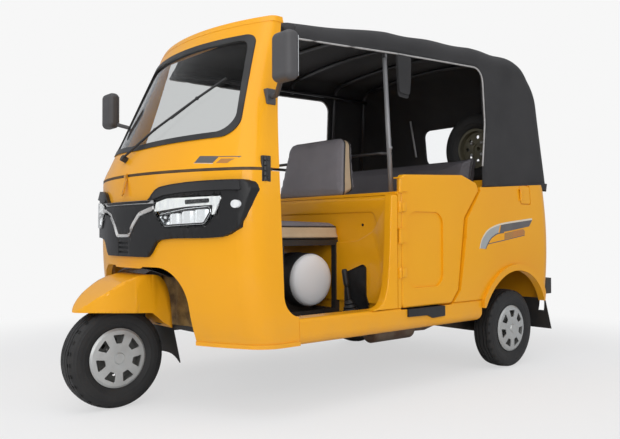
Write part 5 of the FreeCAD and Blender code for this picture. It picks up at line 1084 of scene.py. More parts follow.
# %% Draw the mask's edges to curves
mask_top = ((0.0, 0.8540), (0.180, 0.8545), (0.194, 0.862), (0.206, 0.875), (0.228, 0.894), (0.254, 0.905),
            (0.316, 0.913),
            (0.400, 0.919), (0.474, 0.922), (0.561, 0.923), (0.644, 0.922), (0.661, 0.918), (0.671, 0.908),
            (0.677, 0.895))
mask_low = ((0.0, 0.624), (0.150, 0.624), (0.177, 0.625), (0.192, 0.634), (0.215, 0.662), (0.232, 0.683),
            (0.256, 0.694),
            (0.318, 0.700), (0.475, 0.702), (0.533, 0.706), (0.562, 0.716), (0.598, 0.742), (0.632, 0.776),
            (0.651, 0.802),
            (0.661, 0.827), (0.671, 0.865), (0.677, 0.893))
upper_hold = ((0.0, 0.837), (0.190, 0.837), (0.226, 0.866), (0.56, 0.870), (0.70, 0.870))
lower_hold = ((0.0, 0.702), (0.200, 0.702), (0.235, 0.740), (0.530, 0.742), (0.565, 0.800), (0.620, 0.812),
              (0.70, 0.860))


corner_x, corner_y = 0.6, -0.897


def along_mask(co):
    """How far a point is from the middle, measured round the corner."""
    reach = abs(co.x)
    return reach if reach < corner_x else corner_x + math.hypot(reach - corner_x, max(0.0, co.y - corner_y))


def level(line, s):
    """The height of a line of (place, height) pairs at a place."""
    return float(np.interp(s, [p[0] for p in line], [p[1] for p in line]))


strip_width, wrap_start, wrap_step = 0.0115, -0.890, 0.012
mask_bm = merged_copy("lamp_mask")
for k in range(-54, 55):
    cut_at(mask_bm, (k * strip_width, 0, 0), (1, 0, 0))
for k in range(6):
    cut_at(mask_bm, (0, wrap_start + wrap_step * k, 0), (0, 1, 0))
columns = {}
for vert in mask_bm.verts:
    wrapped = abs(vert.co.x) > corner_x
    step = (vert.co.y - wrap_start) / wrap_step if wrapped else abs(vert.co.x) / strip_width
    if abs(step - round(step)) < 0.02:
        columns.setdefault((wrapped, round(step)), []).append((along_mask(vert.co), vert.co.z))
reach = sorted((max(s for s, z in column), min(z for s, z in column), max(z for s, z in column))
               for column in columns.values() if len(column) > 3)
old_low = [(s, low) for s, low, high in reach]
old_top = [(s, high) for s, low, high in reach]
for vert in mask_bm.verts:
    s = along_mask(vert.co)
    hold, low, high = level(upper_hold, s), level(old_low, s), level(old_top, s)
    if vert.co.z > hold and high > hold:
        vert.co.z = hold + (vert.co.z - hold) * (level(mask_top, s) - hold) / (high - hold)
        continue
    hold = level(lower_hold, s)
    if vert.co.z < hold and low < hold:
        vert.co.z = hold - (hold - vert.co.z) * (hold - level(mask_low, s)) / (hold - low)
mask_grain = (Finish("mask_grained_plastic", (0.0085, 0.0085, 0.0092), 0.38)
              .put("Specular IOR Level", 0.35).dull(0.46, 3.0).rise(0.00004, 900.0, 1.0).give("lamp_mask"))
curved_mask = piece("curved_lamp_mask", mask_bm, mask_grain, sharp=32, instead="lamp_mask")
print("mask faces:", len(curved_mask.data.polygons))

# %% [markdown]
# ## Headlamps
# Each lamp is a dark tray behind a clear cover, with a white light band along
# its top and outer end and a chrome reflector under it. Every layer follows the
# bow of the nose, so each is drawn flat from the front, cut into strips and
# dropped onto the model's skin by ray casting, at its own depth.

# %% Drop flat outlines onto the nose
nose_skin = skin_of("front_shield", "lamp_mask", "mask_strip", "headlamps", "windscreen_frame")
lamp_skin = skin_of("lamp_mask", "headlamps", "front_shield")
nose_radius, nose_tip_y, nose_end_y = 1.13, -1.0555, -0.7
ahead_y, beside_x = -1.6, 1.2
near_shifts = ((0, 0), (0, 0.002), (0, -0.002), (-0.002, 0), (0.002, 0), (0, 0.005), (0, -0.005), (-0.006, 0),
               (0.006, 0))


def nose_normal(x):
    """The direction out of the bowed nose, level with the floor."""
    lean = max(-0.9, min(0.9, x / nose_radius))
    return Vector((lean, -math.sqrt(1 - lean * lean), 0))


def on_nose(skin, x, z):
    """The nose's surface behind a front view's point; beside a gap, the nearest skin counts."""
    for dx, dz in near_shifts:
        hit = skin.ray_cast(Vector((x + dx, ahead_y, z + dz)), Vector((0, 1, 0)))[0]
        if hit is not None and hit.y < nose_end_y:
            return Vector((x, hit.y, z))
    return Vector((x, nose_tip_y + nose_radius - math.sqrt(nose_radius ** 2 - x * x), z))


def nose_patch(outline, lift, skin=None, pitch=0.02, rings=(), relief=None):
    """A flat (x, z) outline, laid on the nose at a height above it.

    Each ring (grow, lift) carries the edge outwards to another height. It is all
    drawn flat first, with the height kept in y, and then dropped onto the skin.
    """
    skin = skin or lamp_skin
    start = bmesh.new()
    corners = [start.verts.new((x, -lift, z)) for x, z in outline]
    face = start.faces.new(corners)
    face.normal_update()
    if face.normal.y > 0:
        face.normal_flip()
    low, high = min(x for x, z in outline), max(x for x, z in outline)
    for k in range(1, int((high - low) / pitch) + 1):
        cut_at(start, (low + k * pitch, 0, 0), (1, 0, 0), 0.00005)
    for grow, height in rings:
        rim = [e for e in start.edges if e.is_boundary]
        push = {}
        for edge in rim:
            a, b = edge.verts
            run = (b.co - a.co).normalized()
            out = Vector((run.z, 0, -run.x))
            if out.dot(edge.link_faces[0].calc_center_median() - (a.co + b.co) / 2) > 0:
                out = -out
            for vert in (a, b):
                push.setdefault(vert, []).append(out)
        moved = bmesh.ops.extrude_edge_only(start, edges=rim)["geom"]
        fresh = {tuple(round(c, 6) for c in v.co): v for v in moved if isinstance(v, bmesh.types.BMVert)}
        for vert, outs in push.items():
            both = sum(outs, Vector())
            both = both / max(0.5, both.length_squared / len(outs))
            twin = fresh[tuple(round(c, 6) for c in vert.co)]
            twin.co = vert.co + both * grow
            twin.co.y = -height
    split_big(start)
    for vert in start.verts:
        height = -vert.co.y
        if relief and not (rings and vert.is_boundary):
            height += relief(abs(vert.co.x), vert.co.z)
        vert.co = on_nose(skin, vert.co.x, vert.co.z) + nose_normal(vert.co.x) * height
    return start


def thicken(bm, depth):
    """Gives a patch on the nose a wall behind it."""
    bmesh.ops.recalc_face_normals(bm, faces=bm.faces[:])
    bm.faces.ensure_lookup_table()
    if bm.faces[0].normal.y > 0:
        bmesh.ops.reverse_faces(bm, faces=bm.faces[:])
    bmesh.ops.solidify(bm, geom=bm.faces[:], thickness=depth)
    bmesh.ops.recalc_face_normals(bm, faces=bm.faces[:])
    return bm


def lamp_line(shares, radius, grow=0.0):
    """The lamp's outline from its corner shares, rounded."""
    x0, x1, z0, z1 = 0.226 - grow, 0.548 + grow, 0.744 - grow, 0.866 + grow
    return rounded_line([(between(x0, x1, u), between(z0, z1, v)) for u, v in shares], [radius] * len(shares),
                        steps=4)


def side_of(outline, side):
    """The same outline on one side of the middle."""
    return [(x * side, z) for x, z in outline]


lamp_shares = [(0.0, 0.52), (0.18, 0.0), (0.78, 0.03), (0.925, 0.42), (1.0, 1.0), (0.2, 0.96), (0.03, 0.84)]
print("lamp outline:", len(lamp_line(lamp_shares, 0.012)), "points")

# %% Trays, reflectors, light bands and covers
chrome_bowl = Finish("lamp_chrome_bowl", (0.80, 0.82, 0.84), 0.10, 1.0).dull(0.20, 25.0)
lamp_tray = Finish("lamp_dark_tray", (0.020, 0.021, 0.023), 0.25).dull(0.4, 30.0)
light_band = (Finish("lamp_white_band", (0.82, 0.83, 0.82), 0.22)
              .tint((0.66, 0.68, 0.70), 0.7, 55.0, stretch=(1, 1, 0.2)).give("side_lamps"))
cover_clear = (Finish("lamp_clear_cover", (0.97, 0.98, 0.98), 0.02)
               .put("Transmission Weight", 1.0).put("IOR", 1.12).dull(0.05, 8.0).give("headlamps"))

band_line = rounded_line([(0.230, 0.806), (0.243, 0.843), (0.300, 0.857), (0.543, 0.861), (0.516, 0.796),
                          (0.503, 0.783),
                          (0.509, 0.828), (0.392, 0.823)], [0.004] * 8, steps=2)
window_line = rounded_line([(0.392, 0.832), (0.392, 0.849), (0.495, 0.853), (0.495, 0.837)], [0.004] * 4, steps=2)
bowl_line = rounded_line([(0.254, 0.790), (0.392, 0.811), (0.495, 0.819), (0.498, 0.800), (0.474, 0.759),
                          (0.290, 0.751)],
                         [0.008, 0.01, 0.01, 0.01, 0.012, 0.012], steps=3)
trays, bowls, bands, covers, darks = (bmesh.new() for k in range(5))
tray_depth, tray_rings = -0.026, ((0.0035, -0.024), (0.0020, -0.003))
bowl_depth, bowl_rings = -0.0130, ((0.0030, -0.0050),)
flute_start, flute_end, flute_width, flute_depth = 0.254, 0.498, 0.061, 0.008
bulb_x, bulb_step, bulb_z = 0.404, 0.026, 0.843


def flutes(x, z):
    """The upright waves in the reflector."""
    if not flute_start < x < flute_end:
        return 0
    return -flute_depth * abs(math.sin(math.pi * (x - flute_start) / flute_width))


for side in (-1, 1):
    for layer, outline, lift, depth, how in (
            (trays, lamp_line(lamp_shares, 0.012, -0.0055), tray_depth, 0.0012, {"rings": tray_rings}),
            (bowls, bowl_line, bowl_depth, 0.0010, {"pitch": 0.006, "rings": bowl_rings, "relief": flutes}),
            (bands, band_line, -0.005, 0.010, {}),
            (darks, window_line, -0.0035, 0.0012, {}),
            (covers, lamp_line(lamp_shares, 0.012, -0.0006), 0.0, 0.0022, {})):
        pour(layer, thicken(nose_patch(side_of(outline, side), lift, **how), depth))
    for k in range(4):
        x = side * (bulb_x + bulb_step * k)
        spot = on_nose(lamp_skin, x, bulb_z) + nose_normal(x) * -0.003
        lathe(darks, [(0, 0.0012), (0.0048, 0.0010), (0.0062, 0.0), (0.0062, -0.002), (0, -0.002)], spot,
              nose_normal(x), 12)
piece("headlamp_trays", trays, lamp_tray, sharp=30, instead="headlamps")
piece("headlamp_bowls", bowls, chrome_bowl, sharp=50)
piece("headlamp_light_bands", bands, light_band, sharp=40)
piece("headlamp_turn_windows", darks, lamp_tray, sharp=30)
piece("headlamp_covers", covers, cover_clear, sharp=30)

# %% [markdown]
# Dark rims frame the reflector, and a satin brow with a bevelled edge runs
# along the top of the mask. The brow is a thin patch that leans back towards its
# upper edge, which gives the soft highlight that a moulded ridge has.

# %% Rims and brows
rims = bmesh.new()
for side in (-1, 1):
    ring = [on_nose(lamp_skin, x, z) + nose_normal(x) * -0.0045 for x, z in side_of(bowl_line, side)]
    add_tube(rims, ring, 0.0030, closed=True, sides=2, smooth=False)
piece("headlamp_rims", rims, lamp_tray)

brow_finish = (Finish("mask_brow_satin", (0.014, 0.014, 0.015), 0.42)
               .put("Specular IOR Level", 0.4).dull(0.46, 6.0).rise(0.00004, 900.0, 1.0))
brow_low = [(0.222, 0.858), (0.245, 0.860), (0.280, 0.870), (0.374, 0.879), (0.474, 0.883), (0.561, 0.884),
            (0.606, 0.883)]
brow_top = [(0.600, 0.916), (0.561, 0.9175), (0.474, 0.9165), (0.400, 0.9140), (0.316, 0.9075), (0.254, 0.8985),
            (0.232, 0.887),
            (0.216, 0.872)]
brow_line = rounded_line(brow_low + brow_top, [0.003] * 15, steps=2)


def brow_slope(x, z):
    """The brow leans back towards its upper edge."""
    low = level(brow_low, x)
    high = level(brow_top[::-1], x)
    return 0.0075 * max(0.0, min(1.0, (high - z) / max(0.004, high - low)))


mask_face = bmesh.new()
mask_face.from_mesh(curved_mask.data)
brow_skin = tree_of(mask_face)
brows = bmesh.new()
for side in (-1, 1):
    pour(brows, thicken(nose_patch(side_of(brow_line, side), 0.0008, brow_skin, pitch=0.015, relief=brow_slope),
                        0.0060))
piece("mask_brows", brows, brow_finish, sharp=25)

# %% [markdown]
# ## Silver strips of the mask
# A narrow bright strip runs along the mask's upper edge, and a second one dips
# between the lamps. Both are one moulding with soft bends, so the second is an
# offset of a rounded line, laid on the mask with a bevelled edge.

# %% Upper strip and the dipping strip
strip_bend = [(-0.232, 0.8225), (-0.206, 0.8185), (-0.134, 0.8000), (-0.086, 0.7560), (-0.050, 0.7110),
              (0.050, 0.7110),
              (0.086, 0.7560), (0.134, 0.8000), (0.206, 0.8185), (0.232, 0.8225)]
strip_mid = rounded_line(strip_bend + [(0.0, 1.4)], [0, 0.02, 0.035, 0.03, 0.022, 0.022, 0.03, 0.035, 0.02, 0,
                                                     0], steps=5)
strip_mid = [p for p in strip_mid if p[1] < 0.9]


def band_around(line, half):
    """A closed outline at both sides of an open (x, z) line."""
    left, right = [], []
    for k, point in enumerate(line):
        a = Vector(line[max(0, k - 1)])
        b = Vector(line[min(len(line) - 1, k + 1)])
        run = (b - a).normalized()
        off = Vector((-run.y, run.x)) * half
        left.append(tuple(Vector(point) + off))
        right.append(tuple(Vector(point) - off))
    return left + right[::-1]


strip_paint = Finish("strip_satin_silver", (0.60, 0.60, 0.59), 0.34, 0.2).tint((0.30, 0.30, 0.31), 0.5, 9.0)
strips = bmesh.new()
strip_half, strip_rings = 0.0055, ((0.0018, 0.0034), (0.0002, -0.0010))
for line in (strip_mid, [(strip_width * k, 0.8465) for k in range(-19, 20)]):
    pour(strips, thicken(nose_patch(band_around(line, strip_half), 0.0052, lamp_skin, rings=strip_rings), 0.0006))
piece("mask_silver_strips", strips, strip_paint, sharp=30, instead="mask_strip")

# %% [markdown]
# ## Side stripes
# The stripes are printed film. Film has no thickness to speak of, but it sits
# on the paint, so each colour is a thin patch dropped onto the body side like
# the lamp layers, a little over half a millimetre proud. The places of the
# lettering and of the plus sign stay bare paint.

# %% Drop outlines onto the body side
side_skin = skin_of("rear_quarter_left", "rear_quarter_right", "passenger_door", "front_shield", "windscreen_frame")
film_lift, film_thickness = 0.0006, 0.0003


def from_side(skin, side, y, z):
    """Where a level ray from one side meets a skin."""
    return skin.ray_cast(Vector((side * beside_x, y, z)), Vector((-side, 0, 0)))[0]


def curve_line(points, steps=6):
    """A smooth open line through its points."""
    pts = [Vector(p) for p in points]
    pts = [pts[0] * 2 - pts[1]] + pts + [pts[-1] * 2 - pts[-2]]
    out = []
    for a, b, c, d in zip(pts, pts[1:], pts[2:], pts[3:]):
        for k in range(steps):
            t = k / steps
            square, cube = (2 * a - 5 * b + 4 * c - d) * t * t, (3 * b - a - 3 * c + d) * t ** 3
            out.append(0.5 * (2 * b + (c - a) * t + square + cube))
    out.append(pts[-2])
    return out


def side_patch(outline, side, lift, pitch=0.03):
    """A film with a flat (y, z) outline, laid on the body side."""
    start = bmesh.new()
    start.faces.new([start.verts.new((0, y, z)) for y, z in outline])
    low, high = min(p[0] for p in outline), max(p[0] for p in outline)
    for k in range(1, int((high - low) / pitch) + 1):
        cut_at(start, (0, low + k * pitch, 0), (0, 1, 0), 0.00005)
    split_big(start)
    for vert in start.verts:
        hit = from_side(side_skin, side, vert.co.y, vert.co.z)
        if hit is not None:
            vert.co = hit + Vector((side * lift, 0, 0))
    bmesh.ops.recalc_face_normals(start, faces=start.faces[:])
    start.faces.ensure_lookup_table()
    if start.faces[0].normal.x * side < 0:
        bmesh.ops.reverse_faces(start, faces=start.faces[:])
    bmesh.ops.solidify(start, geom=start.faces[:], thickness=film_thickness)
    bmesh.ops.recalc_face_normals(start, faces=start.faces[:])
    return start


def film(name, colour, other):
    """Printed film with a faint second tone."""
    made = Finish(name, colour, 0.35).put("Coat Weight", 0.4).put("Coat Roughness", 0.15)
    return made.tint(other, 0.6, 6.0).rise(0.00003, 300.0, 1.0)


cream_film = film("stripe_cream_film", (0.74, 0.66, 0.50), (0.66, 0.60, 0.50))
grey_film = film("stripe_grey_film", (0.36, 0.38, 0.38), (0.30, 0.32, 0.33))
dark_film = film("stripe_dark_film", (0.085, 0.080, 0.085), (0.12, 0.11, 0.10))
brown_film = film("stripe_orange_film", (0.46, 0.175, 0.025), (0.33, 0.19, 0.04))

upper = curve_line([(0.538, 0.640), (0.551, 0.678), (0.576, 0.710), (0.612, 0.737), (0.671, 0.758), (0.742, 0.772),
                    (0.850, 0.784), (1.030, 0.801)])
crown = curve_line([(0.546, 0.642), (0.558, 0.678), (0.584, 0.707), (0.619, 0.733), (0.673, 0.751), (0.731, 0.762),
                    (0.850, 0.775), (1.034, 0.792)])
belly = curve_line([(0.589, 0.639), (0.605, 0.663), (0.631, 0.690), (0.667, 0.709), (0.703, 0.720), (0.815, 0.732),
                    (0.926, 0.746), (1.000, 0.756)])
shadow = curve_line([(0.594, 0.637), (0.611, 0.660), (0.637, 0.686), (0.671, 0.704), (0.706, 0.7145),
                     (0.760, 0.7205)])
split_top = [p for p in crown if p.x > 0.724]
split_low = [p for p in belly if p.x > 0.706]
grey_top = [p for p in crown if p.x < 0.724] + [Vector((0.722, 0.7605))]
grey_low = [p for p in belly if p.x < 0.706] + [Vector((0.704, 0.7202))]
shade_top = [p for p in belly if p.x < 0.757]
stripes = (("side_stripe_cream", cream_film, [upper + crown[::-1]]),
           ("side_stripe_grey", grey_film, [grey_top + grey_low[::-1]]),
           ("side_stripe_dark", dark_film, [split_top + split_low[::-1], shade_top + shadow[::-1],
                                            [(0.612, 0.6655), (0.760, 0.6845), (0.953, 0.7095), (0.953, 0.7055),
                                             (0.760, 0.6800), (0.612, 0.6615)]]),
           ("side_stripe_orange", brown_film, [[(0.762, 0.7185), (0.940, 0.7420), (0.957, 0.7300), (0.953, 0.7105),
                                                (0.760, 0.6860)]]))
for name, finish, outlines in stripes:
    bm = bmesh.new()
    for side in (-1, 1):
        for outline in outlines:
            pour(bm, side_patch(outline, side, film_lift))
    stripe = piece(name, bm, finish, sharp=30)
    print(name, len(stripe.data.polygons), "faces")

# %% Nose stripes
nose_stripes = (("nose_stripe_dark", dark_film, [[(0.400, 0.9940), (0.413, 1.0210), (0.496, 1.0160), (0.481, 0.9895)],
                                                 [(0.496, 1.0160), (0.580, 1.0125), (0.572, 1.0070), (0.566, 1.0100),
                                                  (0.497, 1.0130)]]),
                ("nose_stripe_orange", brown_film, [[(0.494, 0.9885), (0.507, 1.0055), (0.560, 1.0030),
                                                     (0.548, 0.9965),
                                                     (0.538, 0.9865)]]),
                ("nose_stripe_cream", cream_film, [[(0.397, 0.9925), (0.4005, 0.9935), (0.482, 0.9885),
                                                    (0.484, 0.9865)]]))
for name, finish, outlines in nose_stripes:
    bm = bmesh.new()
    for side in (-1, 1):
        for outline in outlines:
            pour(bm, thicken(nose_patch(side_of(outline, side), film_lift, nose_skin), film_thickness))
    piece(name, bm, finish, sharp=30)

# %% [markdown]
# ## Small parts of the nose
# A rubber bead seals the seam where the nose panel meets the screen panel. The
# nose panel is held shut by a yellow strap latch, and hangs on a black ribbed
# bracket on each pillar.

# %% Seam bead, latch and pillar brackets
seam_brown = Finish("seam_brown_rubber", (0.055, 0.030, 0.012), 0.6).tint((0.10, 0.055, 0.015), 0.7, 18.0)
bead_line = []
bead_z, feel_z, bead_step = 0.9642, 0.976, 0.0202
for k in range(-31, 32):
    x = bead_step * k
    spot = on_nose(nose_skin, x, feel_z)
    bead_line.append((Vector((spot.x, spot.y, bead_z)), nose_normal(x)))
for side in (1, -1):
    tail = []
    for y in (-0.800, -0.785, -0.770):
        hit = from_side(nose_skin, side, y, feel_z)
        tail.append((Vector((hit.x, y, bead_z)), Vector((side, 0, 0))))
    bead_line = bead_line + tail if side == 1 else tail[::-1] + bead_line
bm = bmesh.new()
bead_section = ((0.0010, 0.0074), (0.0022, 0.0040), (0.0022, -0.0040), (0.0010, -0.0074), (-0.0060, -0.0074),
                (-0.0060, 0.0074))
rows = [[bm.verts.new(spot + out * u + Vector((0, 0, v))) for u, v in bead_section] for spot, out in bead_line]
lay_quads(bm, rows, closed=True)
bm.faces.new(rows[0])
bm.faces.new(rows[-1][::-1])
bmesh.ops.recalc_face_normals(bm, faces=bm.faces[:])
piece("nose_seam_bead", bm, seam_brown, sharp=40)
print("bead from", [round(v, 3) for v in bead_line[0][0]], "to", [round(v, 3) for v in bead_line[-1][0]])

latch_paint = (Finish("latch_yellow_paint", (0.72, 0.30, 0.010), 0.42)
               .tint((0.30, 0.14, 0.02), 0.5, 70.0).rise(0.0001, 300.0))
bm = bmesh.new()
for outline, lift, depth in (([(-0.0085, 0.882), (0.0085, 0.882), (0.0085, 0.960), (-0.0085, 0.960)], 0.0025, 0.0024),
                             ([(-0.0050, 0.878), (0.0050, 0.878), (0.0060, 0.945), (-0.0060, 0.945)], 0.0080, 0.0045),
                             ([(-0.0095, 0.956), (0.0095, 0.956), (0.0095, 0.9685), (-0.0095, 0.9685)], 0.0100,
                              0.0090)):
    pour(bm, thicken(nose_patch(rounded_line(outline, [0.0028] * 4, steps=3), lift, nose_skin), depth))
piece("nose_latch", bm, latch_paint, sharp=35)

bracket_black = Finish("bracket_black_plastic", (0.016, 0.016, 0.017), 0.35).dull(0.5, 40.0)
bracket_z, rib_pitch, screw_gap = 0.965, 0.0195, 0.034
bm = bmesh.new()
for side in (-1, 1):
    spots = [from_side(nose_skin, side, y, 0.985) for y in (-0.816, -0.776)]
    along = (spots[1] - spots[0]).normalized()
    out = Vector((along.y, -along.x, 0)) * side
    if out.x * side < 0:
        out = -out
    turn = Matrix((along, out, Vector((0, 0, 1)))).transposed()
    middle = (spots[0] + spots[1]) / 2
    middle.z = bracket_z
    rounded_block(bm, (0.040, 0.012, 0.100), middle + out * 0.001, 0.003, turn)
    for k in range(5):
        spot = middle + out * 0.008 - along * 0.006
        spot.z = bracket_z + (k - 2) * rib_pitch
        lathe(bm, [(0, 0.0085), (0.0062, 0.0085), (0.0078, 0.0065), (0.0078, -0.0065), (0.0062, -0.0085),
                   (0, -0.0085)],
              spot, (0, 0, 1), 14)
    for k in (-1, 1):
        spot = middle + out * 0.0078 + along * 0.010
        spot.z = bracket_z + k * screw_gap
        lathe(bm, [(0, 0.0030), (0.0030, 0.0026), (0.0052, 0.0010), (0.0056, -0.001), (0, -0.001)], spot, out, 12)
piece("pillar_brackets", bm, bracket_black, sharp=35)

# %% [markdown]
# ## Mirrors
# The mirror heads are grained plastic, lighter than the mask. A thin silvered
# plate fills the recess that faces the driver.

# %% Mirror plates
(Finish("mirror_grey_plastic", (0.062, 0.060, 0.062), 0.48)
 .dull(0.58, 10.0).rise(0.00006, 800.0, 1.0).give("mirrors"))
silvered = Finish("mirror_silvered_glass", (0.84, 0.86, 0.87), 0.03, 1.0).dull(0.07, 12.0)
bm = bmesh.new()
for side in (-1, 1):
    rounded_block(bm, (0.0880, 0.0028, 0.1520), (side * 0.742, -0.7622, 1.372), 0.0012, segments=2)
piece("mirror_plates", bm, silvered, sharp=30)

# %% [markdown]
# ## Front mudguard and its flap
# The mudguard is a pressed shell that runs out to a low point in front and ends
# just behind the tyre. Its CAD solid is a round dome, so a copy is drawn down
# towards the point and shortened behind. The rubber flap under it has a hollow
# lower edge with a point at each side. Both turn with the steering.

# %% Point the mudguard
guard_fall = ((-1.290, 0.42), (-1.262, 0.55), (-1.240, 0.63), (-1.212, 0.72), (-1.126, 0.89), (-1.047, 0.98),
              (-0.95, 1.0))
guard_base, guard_tip, guard_step = 0.395, -1.28, 0.0125
guard_middle, guard_short = -1.000, 0.60
guard_bm = merged_copy("front_mudguard")
for k in range(24):
    cut_at(guard_bm, (0, guard_tip + guard_step * k, 0), (0, 1, 0))
for vert in guard_bm.verts:
    if vert.co.z > guard_base:
        vert.co.z = guard_base + (vert.co.z - guard_base) * level(guard_fall, vert.co.y)
    if vert.co.y > guard_middle:
        vert.co.y = guard_middle + (vert.co.y - guard_middle) * guard_short
guard = piece("pointed_mudguard", guard_bm, yellow_paint, body="steering", sharp=40, instead="front_mudguard")
print("mudguard faces:", len(guard.data.polygons))

# %% Flap with a hollow lower edge
flap_half, flap_top, flap_foot, flap_hollow = 0.104, 0.330, 0.200, 0.036
flap_top_y, flap_foot_y, flap_drop, flap_bow = -0.8940, -0.8585, 0.17, 0.012


def flap_point(u, v):
    """A point of the flap, across (-1 to 1) and down (0 to 1)."""
    z = between(flap_top, flap_foot - flap_hollow * abs(u) ** 3, v)
    y = between(flap_top_y, flap_foot_y, (flap_top - z) / flap_drop) - flap_bow * (1 - u * u) * (1 - v)
    return u * flap_half * between(0.96, 1.0, v), y, z


flap_bm = bmesh.new()
lay_quads(flap_bm, [[flap_bm.verts.new(flap_point(-1 + 2 * i / 12, j / 6)) for i in range(13)] for j in range(7)])
piece("hollow_mudflap", stiffen(flap_bm, 0.005), flap_rubber, body="steering", sharp=40, instead="front_mudflap")

# %% [markdown]
# ## Wheel arch
# Under the mask the nose panel ends in a short tongue above the mudguard. A
# black shroud closes the arch above the wheel, and a pressed wall painted brown
# with large dark brown patches closes it behind the mudguard. Both stay clear of
# the turned wheel, so they are kept outside the circle that the mudguard's rear
# corners and the flap sweep.

# %% Tongue, shroud and brown wall
tongue_line = [(-0.170, 0.597), (0.170, 0.597), (0.135, 0.5870), (0.112, 0.5760), (-0.112, 0.5760), (-0.135, 0.5870)]
piece("nose_tongue", thicken(nose_patch(tongue_line, 0.0004, nose_skin), 0.0020), yellow_paint, sharp=40)


shroud_gloss = Finish("arch_black_gloss", (0.012, 0.013, 0.016), 0.14).dull(0.32, 12.0)
shroud_front = curve_line([(-0.235, -0.985, 0.545), (-0.12, -1.005, 0.568), (0, -1.015, 0.574), (0.12, -1.005, 0.568),
                           (0.235, -0.985, 0.545)], 5)
shroud_rear = curve_line([(-0.215, -0.86, 0.535), (-0.12, -0.86, 0.560), (0, -0.86, 0.566), (0.12, -0.86, 0.560),
                          (0.215, -0.86, 0.535)], 5)
shroud_centre_z, shroud_hump = 0.40, 0.006


def shroud_point(a, b, u):
    """A point between the shroud's front and rear line, on a slight hump."""
    spot = a.lerp(b, u)
    off = Vector((spot.x, 0, spot.z - shroud_centre_z)).normalized()
    return spot + off * shroud_hump * math.sin(math.pi * u)


shroud = bmesh.new()
lay_quads(shroud, [[shroud.verts.new(shroud_point(a, b, i / 6)) for i in range(7)] for a,
                   b in zip(shroud_front, shroud_rear)])
stiffen(shroud, 0.003)
piece("arch_shroud", shroud, shroud_gloss, sharp=45)

# The wall is painted brown, with large dark brown patches mixed in.
liner_brown_patched = (Finish("arch_brown_patched_paint", (0.46, 0.29, 0.10), 0.7)
               .tint((0.13, 0.075, 0.03), 0.8, 14.0, 4.0).rise(0.0006, 90.0, 4.0))
liner_y, liner_lean, liner_low, liner_tall = -0.765, 0.020, 0.305, 0.265


def wall_point(x, v):
    """A point of the wall, with two upright ridges and a faint ripple."""
    ridges = (0.030 * math.exp(-((x + 0.135 + 0.10 * (v - 0.5)) / 0.035) ** 2)
              + 0.018 * math.exp(-((x + 0.03) / 0.030) ** 2))
    ripple = 0.006 * math.sin(9.0 * v + 14 * x)
    return x, liner_y - liner_lean * v - ridges - ripple, liner_low + liner_tall * v


wall = bmesh.new()
lay_quads(wall, [[wall.verts.new(wall_point(-0.30 + 0.015 * i, j / 14)) for i in range(41)] for j in range(15)])
stiffen(wall, 0.002)
piece("arch_brown_wall", wall, liner_brown_patched, sharp=60)

# %% [markdown]
# ## Canopy tubes
# The tubes of the canopy are black, but the post beside the door is bare grey.
# The rail between the two posts bows backwards behind the driver's backrest, so a
# copy of the tubes leaves out the straight one, and a bowed rail joins the posts.

# %% Posts, bows and the rail behind the driver
tubes_bm = merged_copy("hood_frame")
post_y, straight_rail_z = -0.036, 1.112
gone = []
for face in tubes_bm.faces:
    spot = face.calc_center_median()
    if abs(spot.y - post_y) < 0.016 and abs(spot.z - straight_rail_z) < 0.014 and abs(spot.x) < 0.555:
        gone.append(face)
print("rail faces left out:", len(gone))
bmesh.ops.delete(tubes_bm, geom=gone, context="FACES")
bmesh.ops.holes_fill(tubes_bm, edges=[e for e in tubes_bm.edges if e.is_boundary], sides=80)
tube_black = Finish("tube_black_paint", (0.022, 0.022, 0.024), 0.28).dull(0.4, 7.0).give("hood_frame")
post_grey = (Finish("post_grey_steel", (0.27, 0.27, 0.275), 0.34, 0.35)
             .tint((0.17, 0.17, 0.18), 0.6, 10.0, stretch=(1, 1, 0.2)))
for face in tubes_bm.faces:
    spot = face.calc_center_median()
    face.material_index = int(abs(spot.y - post_y) < 0.03 and abs(spot.x) > 0.55 and spot.z < 1.62)
piece("canopy_tubes", tubes_bm, (tube_black, post_grey), sharp=40, instead="hood_frame")

rail = curve_line([(-0.578, post_y, 1.084), (-0.50, 0.010, 1.096), (-0.40, 0.058, 1.108), (-0.20, 0.088, 1.113),
                   (0, 0.094, 1.114), (0.20, 0.088, 1.113), (0.40, 0.058, 1.108), (0.50, 0.010, 1.096),
                   (0.578, post_y, 1.084)], 5)
piece("rail_behind_driver", add_tube(bmesh.new(), rail, 0.0080), tube_black)
stay = [Vector((-0.30, 1.124, 1.469)), Vector((-0.30, 1.150, 1.360)), Vector((-0.30, 1.181, 1.231))]
piece("canopy_back_stay", add_tube(bmesh.new(), stay, 0.0065, sides=3), post_grey)

# %% [markdown]
# ## Strap beside the post
# A rolled strap for the side curtain hangs behind the post. It is two layers of
# canvas sewn at the top and open in the lower third.

# %% Hanging strap
strap_x, strap_top, strap_twist = 0.572, 1.552, 0.003
strap = bmesh.new()
for shift, low in ((0.004, 1.372), (-0.004, 1.355)):
    outline = rounded_line([(0.016, strap_top), (0.108, strap_top), (0.106, 1.44), (0.098, low),
                            (0.028, low + 0.004), (0.020, 1.44)],
                           [0.006, 0.006, 0.03, 0.012, 0.012, 0.03], steps=3)
    prism(strap, *([(strap_x + shift + half + strap_twist * math.sin(60 * y) * (strap_top - z), y, z) for y,
                    z in outline]
                   for half in (-0.0028, 0.0028)))
split_big(strap)
piece("post_hanging_strap", strap, canvas, sharp=45)
